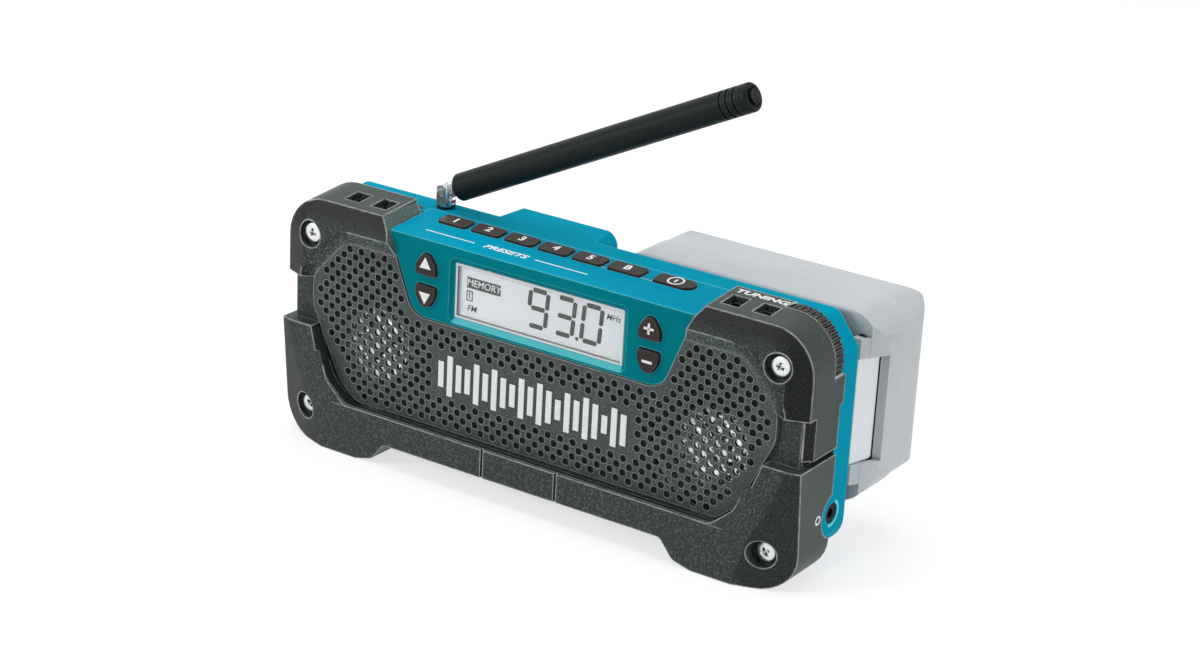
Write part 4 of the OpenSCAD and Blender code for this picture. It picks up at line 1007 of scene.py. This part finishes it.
class RADIO_OT_key_legends(bpy.types.Operator):
    """Prints the arrows, signs and numbers on the keys"""
    bl_idname = "radio.key_legends"
    bl_label = "Key Legends"

    def execute(self, context):
        sizes = context.scene.radio_sizes
        front = {
            "key_up": arrow_mark(3.1, 0),
            "key_down": arrow_mark(3.1, 180),
            "key_plus": joined([bar_mark(4.3, 1), bar_mark(1, 4.3)]),
            "key_minus": bar_mark(4.4, 1.05),
        }
        for key, drawing in front.items():
            printed(f"{key}_sign", drawing, front_place(front_middle(key)), body=key)
        words = {**{f"key_preset_{number}": str(number) for number in range(1, 6)}, "key_band": "B"}
        deck = {key: lettering(word, 3.7, 0.045) for key, word in words.items()}
        deck["key_power"] = joined([ring_mark(3, 0.75), bar_mark(0.8, 2.4)])
        for key, drawing in deck.items():
            place = deck_place(front_middle(key).x - ORIGIN.x, sizes.key_row, sizes.key_proud)
            printed(f"{key}_sign", drawing, place, body=key)
        return {"FINISHED"}


class RADIO_OT_deck_print(bpy.types.Operator):
    """Prints the caption and lines on the deck and the tuning caption, and paints the highlight and shade of
    the steps between its keys
    """
    bl_idname = "radio.deck_print"
    bl_label = "Deck Print"

    def execute(self, context):
        sizes = context.scene.radio_sizes
        row = 7.5 * MM
        for name, start, end in (("deck_line_left", -57.5, -34.5), ("deck_line_right", -6.5, 17)):
            printed(name, bar_mark(end - start, 0.55), deck_place((start + end) / 2 * MM, row))
        for name, left, right in (("deck_step_band", "key_preset_5", "key_band"),
                                  ("deck_step_power", "key_band", "key_power")):
            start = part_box(left)[1].x - ORIGIN.x - KEY_LIP
            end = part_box(right)[0].x - ORIGIN.x + KEY_LIP
            place = deck_place((start + end) / 2, sizes.key_row - KEY_HALF_DEPTH)
            width = (end - start) / MM
            # The teal line is the step's painted highlight, the dark line its painted shade
            printed(name, bar_mark(width, 0.4), place @ shift(0, 0.45 * MM, 0), "teal_highlight_line")
            printed(f"{name}_shade", bar_mark(width, 0.45), place, "shade_line")
        printed("deck_caption", lettering("PRESETS", 2.8, 0.035, 0.25, 1.35), deck_place(-20.3 * MM, row))
        # The tuning caption lies on the right upper bumper, which stands higher than the deck
        bumper_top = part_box("upper_bumper_right")[1].z
        rise = (bumper_top - deck_place(0, 21.2 * MM).translation.z) / math.cos(sizes.deck_slope)
        printed("tuning_caption", lettering("TUNING", 2.8, 0.045, 0.2, 1.4),
                deck_place(85.2 * MM, 18.2 * MM, rise))
        return {"FINISHED"}


class RADIO_OT_grille_motif(bpy.types.Operator):
    """Adds the row of raised level bars on the grille's plain pad"""
    bl_idname = "radio.grille_motif"
    bl_label = "Grille Motif"

    def execute(self, context):
        sizes = context.scene.radio_sizes
        count, pitch = sizes.motif_bars, sizes.motif_width / sizes.motif_bars
        relief, sunk, pad_height = 0.5 * MM, 0.02 * MM, 43.4 * MM
        bars = []
        for i in range(count):
            # A quick and a slow wave that never fall into step, for the uneven look of sound levels
            swing = abs(math.sin(i * 1.9)) * 0.55 + abs(math.cos(i * 0.61)) * 0.45
            height = sizes.motif_height * (0.25 + 0.75 * swing)
            bar = bevelled(slab(pitch * 0.62, height, relief), 0.2 * MM, 2, 60)
            offset = Vector(((i - (count - 1) / 2) * pitch, sunk - relief / 2, pad_height))
            bars.append(placed(bar, front_place(ORIGIN + offset)))
        finished("level_bars", joined(bars), "print")
        return {"FINISHED"}


# ---- Speakers ----


def cone_profile(radius, depth):
    """The rings of a cone, from its rim over the rolled surround and the cap, and back behind them."""
    # The radius in 23.4 steps: the surround takes up the outer 3.4, and the cap the inner 9.2
    step, rim_depth = radius / 23.4, 0.6 * MM
    cap_edge, cap_rise = -depth * 0.66, step * 3.4
    surround = [(radius - t * step, math.sin(math.pi * t / 3.4) * 0.25 * MM - 0.1 * MM)
                for t in (0.8, 1.7, 2.6, 3.4)]
    cap = [(step * 9.2 * math.cos(math.radians(a)), cap_edge + cap_rise * math.sin(math.radians(a)))
           for a in (8, 25, 45, 65)]
    return [
        (radius, -rim_depth), (radius, 0), *surround,
        (step * 16, -depth * 0.28), (step * 13, -depth * 0.42), (step * 9.4, cap_edge), *cap,
        (0, cap_edge + cap_rise), (0, -depth * 0.8), (step * 9, -depth * 0.8), (step * 9.6, -depth),
        (step * 11, -depth), (radius - 4 * step, -1 * MM), (radius, -rim_depth)]


class RADIO_OT_speaker_cones(bpy.types.Operator):
    """Adds the cones with their surrounds and dust caps"""
    bl_idname = "radio.speaker_cones"
    bl_label = "Speaker Cones"

    def execute(self, context):
        for side in ("left", "right"):
            node = f"speaker_{side}_cone"
            low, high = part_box(node)
            cone = turned(cone_profile((high.x - low.x) / 2, high.y - low.y), 64)
            placed(cone, front_place(front_middle(node)))
            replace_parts(smoothed(finished(f"{side}_cone_with_cap", cone, "cone")), node)
        return {"FINISHED"}


# ---- Antenna ----


def cap_profile(radius, sleeve_radius, tip):
    """The rings of the end cap, from the plug inside the sleeve to the knurled centre."""
    plug = 2.1 * MM
    return [(ring, tip - drop * MM) for ring, drop in (
        (0, 5.5), (plug, 5.5), (plug, 4), (radius, 4), (sleeve_radius, 3.6), (sleeve_radius, 1.6),
        (radius, 1), (radius * 0.86, 0.7), (radius * 0.74, 0.9), (radius * 0.7, 1.3), (radius * 0.6, 1.3),
        (radius * 0.56, 0), (0, 0))]


class RADIO_OT_antenna_cap(bpy.types.Operator):
    """Adds the antenna's end cap, with its rim and knurled centre"""
    bl_idname = "radio.antenna_cap"
    bl_label = "Antenna Cap"

    def execute(self, context):
        low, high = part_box("antenna_cap")
        sleeve_low, sleeve_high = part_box("antenna_sleeve")
        pin = sum(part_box("antenna_pin"), Vector()) / 2
        radius, sleeve_radius = (high.y - low.y) / 2, (sleeve_high.y - sleeve_low.y) / 2
        # The arm leans in the plane Y = const, and the cap's box gives the lean
        lean = math.atan2(high.z - radius * 0.82 - pin.z, high.x - radius * 0.3 - pin.x)
        place = Matrix.Translation(pin) @ Matrix.Rotation(-lean, 4, "Y") @ turn_by(90, "Y")
        tip, knurls = 150 * MM, 16
        cap = turned(cap_profile(radius, sleeve_radius, tip), knurls * 3)
        edit_picked(
            cap, "FACE",
            lambda face: face.center.z > tip - 1.2 * MM and face.center.xy.length < radius * 0.59,
            lambda: bpy.ops.mesh.inset(thickness=0.25 * MM, depth=-0.15 * MM, use_individual=True))
        piece = finished("antenna_end_cap", placed(cap, place), "rubber", "antenna")
        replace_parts(smoothed(bevelled(piece, 0.12 * MM, 2, 40)), "antenna_cap")
        return {"FINISHED"}


# ---- Sides and lower bumper ----


class RADIO_OT_side_marks(bpy.types.Operator):
    """Prints the ring on the bumper beside the audio socket, and paints a highlight arc round the socket"""
    bl_idname = "radio.side_marks"
    bl_label = "Side Marks"

    def execute(self, context):
        bumper_side, shell_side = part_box("lower_bumper")[1].x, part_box("rear_housing")[1].x
        printed("socket_ring", ring_mark(1.5, 0.7), side_at(bumper_side, 12.6, 25.6))
        # The arc is a painted highlight on the rim of the socket's surround
        printed("socket_arc", arc_mark(4.8, 0.9, -110, 62), side_at(shell_side, 24.5, 24),
                "teal_highlight_line")
        return {"FINISHED"}


class RADIO_OT_bumper_lines(bpy.types.Operator):
    """Adds painted shade lines at the lower bumper's creases, painted glints on its bar, and dark sheets of
    painted shade behind the slots and in the gap
    """
    bl_idname = "radio.bumper_lines"
    bl_label = "Bumper Lines"

    def execute(self, context):
        low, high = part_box("lower_bumper")
        wall_inset, half_shade_sheet = 3.35 * MM, 0.05 * MM
        for side, sign in (("left", -1), ("right", 1)):
            # Dark plates behind the strap slots: painted shade
            printed(f"strap_room_{side}", bar_mark(27, 11, 0.1 * MM),
                    deck_place(sign * 85 * MM, 19 * MM, 0.2 * MM), "shade_line")
            # Dark lines as painted shade in the feet's creases
            printed(f"foot_crease_{side}", bar_mark(22, 0.3), front_at(sign * 74, low.y, 9.6),
                    "shade_line")
            # Painted glint along the bar's top edge
            printed(f"bar_glint_{side}", bar_mark(13, 0.3), front_at(sign * 84, low.y, 20.4),
                    "highlight_line")
            # Thin dark sheets in the gap between the bumpers: painted shade
            wall = ORIGIN.x + sign * (high.x - ORIGIN.x - wall_inset)
            shade_sheet = block(Vector((wall - half_shade_sheet, GRILLE_HIGH.y + 2.7 * MM, high.z - 0.8 * MM)),
                          Vector((wall + half_shade_sheet, high.y + 0.1 * MM, high.z + 3.2 * MM)))
            bevelled(shade_sheet, 0.02 * MM, 1, 60)
            finished(f"gap_liner_{side}", shade_sheet, "black_plastic")
        return {"FINISHED"}


# ---- Stage ----

# Where each lamp stands, its width and its power
LAMPS = {
    "overhead": ((-0.1, 0.05, 1.1), 0.9, 5.8),
    "front_left": ((-0.9, -1.1, 0.7), 0.5, 8.5),
    "right": ((1.3, 0.1, 0.45), 0.5, 4.6),
}
LIT_POINT = Vector((0, 0, 0.06))
CAMERA_PLACE = (0.53226, -0.81437, 0.43434)
AZIMUTH, ELEVATION, ROLL = 33.05, 21.04, 3.1
FOCAL_LENGTH = 81.72


def in_scene(name, data):
    holder = bpy.data.objects.new(name, data)
    bpy.context.scene.collection.objects.link(holder)
    return holder


def lamp(name, place, width, power):
    light = bpy.data.lights.new(name, "AREA")
    set_all(light, energy=power, shape="RECTANGLE", size=width, size_y=width)
    turn = (LIT_POINT - Vector(place)).to_track_quat("-Z", "Y").to_euler()
    set_all(in_scene(name, light), location=place, rotation_euler=turn)


def seen_or_mirrored(tree):
    """One for what the camera sees, straight, in a mirror or through glass."""
    path = new_node(tree, "ShaderNodeLightPath").outputs
    seen = math_node("MAXIMUM", path["Is Camera Ray"], path["Is Glossy Ray"])
    return math_node("MAXIMUM", seen, path["Is Transmission Ray"])


def floor_material():
    """Pale floor that the camera and mirrors see as white, and that keeps the shadow."""
    material, tree = blank_material("Pale floor")
    reach = new_node(tree, "ShaderNodeVectorMath", {0: coordinates(tree)}, operation="LENGTH")
    far = times_plus(stretch(reach.outputs["Value"], 0.5, 2.2), 0.26, 0.44)
    return shaded(material, {
        "Base Color": (0.45, 0.45, 0.45, 1), "Roughness": 0.9, "Specular IOR Level": 0,
        "Emission Color": WHITE, "Emission Strength": times_plus(seen_or_mirrored(tree), far, 0.24)})


class RADIO_OT_stage(bpy.types.Operator):
    """Sets the pale floor, the soft lamps and the camera"""
    bl_idname = "radio.stage"
    bl_label = "Stage"

    def execute(self, context):
        scene = context.scene
        floor = added(bpy.ops.mesh.primitive_plane_add, size=scene.radio_sizes.floor_size)
        floor.name = "floor"
        floor.data.materials.append(floor_material())

        scene.world = bpy.data.worlds.new("Studio")
        scene.world.use_nodes = True
        tree = scene.world.node_tree
        soft = connect(tree, tree.nodes["Background"], {"Color": WHITE, "Strength": 0.36})
        bright = new_node(tree, "ShaderNodeBackground", {"Color": WHITE, "Strength": 1})
        blended(seen_or_mirrored(tree), soft, bright, "World Output")
        for name, (place, width, power) in LAMPS.items():
            lamp(name, place, width, power)

        view = set_all(bpy.data.cameras.new("camera"), sensor_width=36, lens=FOCAL_LENGTH)
        scene.camera = in_scene("camera", view)
        scene.camera.matrix_world = (
            shift(*CAMERA_PLACE) @ turn_by(AZIMUTH) @ turn_by(90 - ELEVATION, "X") @ turn_by(ROLL))
        scene.view_settings.view_transform = "Standard"
        return {"FINISHED"}


OPERATORS = (
    RADIO_OT_mix_materials, RADIO_OT_finish_parts, RADIO_OT_front_screws, RADIO_OT_display,
    RADIO_OT_key_legends, RADIO_OT_deck_print, RADIO_OT_grille_motif, RADIO_OT_speaker_cones,
    RADIO_OT_antenna_cap, RADIO_OT_side_marks, RADIO_OT_bumper_lines, RADIO_OT_stage)


class RADIO_PT_panel(bpy.types.Panel):
    bl_idname = "RADIO_PT_panel"
    bl_label = "Jobsite Radio"
    bl_space_type = "VIEW_3D"
    bl_region_type = "UI"
    bl_category = "Radio"

    def draw(self, context):
        layout = self.layout
        for group in (context.scene.radio_sizes, context.scene.radio_colours):
            box = layout.box()
            for name in group.__annotations__:
                box.prop(group, name)
        for operator in OPERATORS:
            layout.operator(operator.bl_idname)


CLASSES = (RadioSizes, RadioColours, *OPERATORS, RADIO_PT_panel)


def register():
    for cls in CLASSES:
        bpy.utils.register_class(cls)
    bpy.types.Scene.radio_sizes = PointerProperty(type=RadioSizes)
    bpy.types.Scene.radio_colours = PointerProperty(type=RadioColours)


def unregister():
    del bpy.types.Scene.radio_colours
    del bpy.types.Scene.radio_sizes
    for cls in reversed(CLASSES):
        bpy.utils.unregister_class(cls)


def main():
    register()
    for operator in OPERATORS:
        group, action = operator.bl_idname.split(".")
        getattr(getattr(bpy.ops, group), action)()


if __name__ == "__main__":
    main()
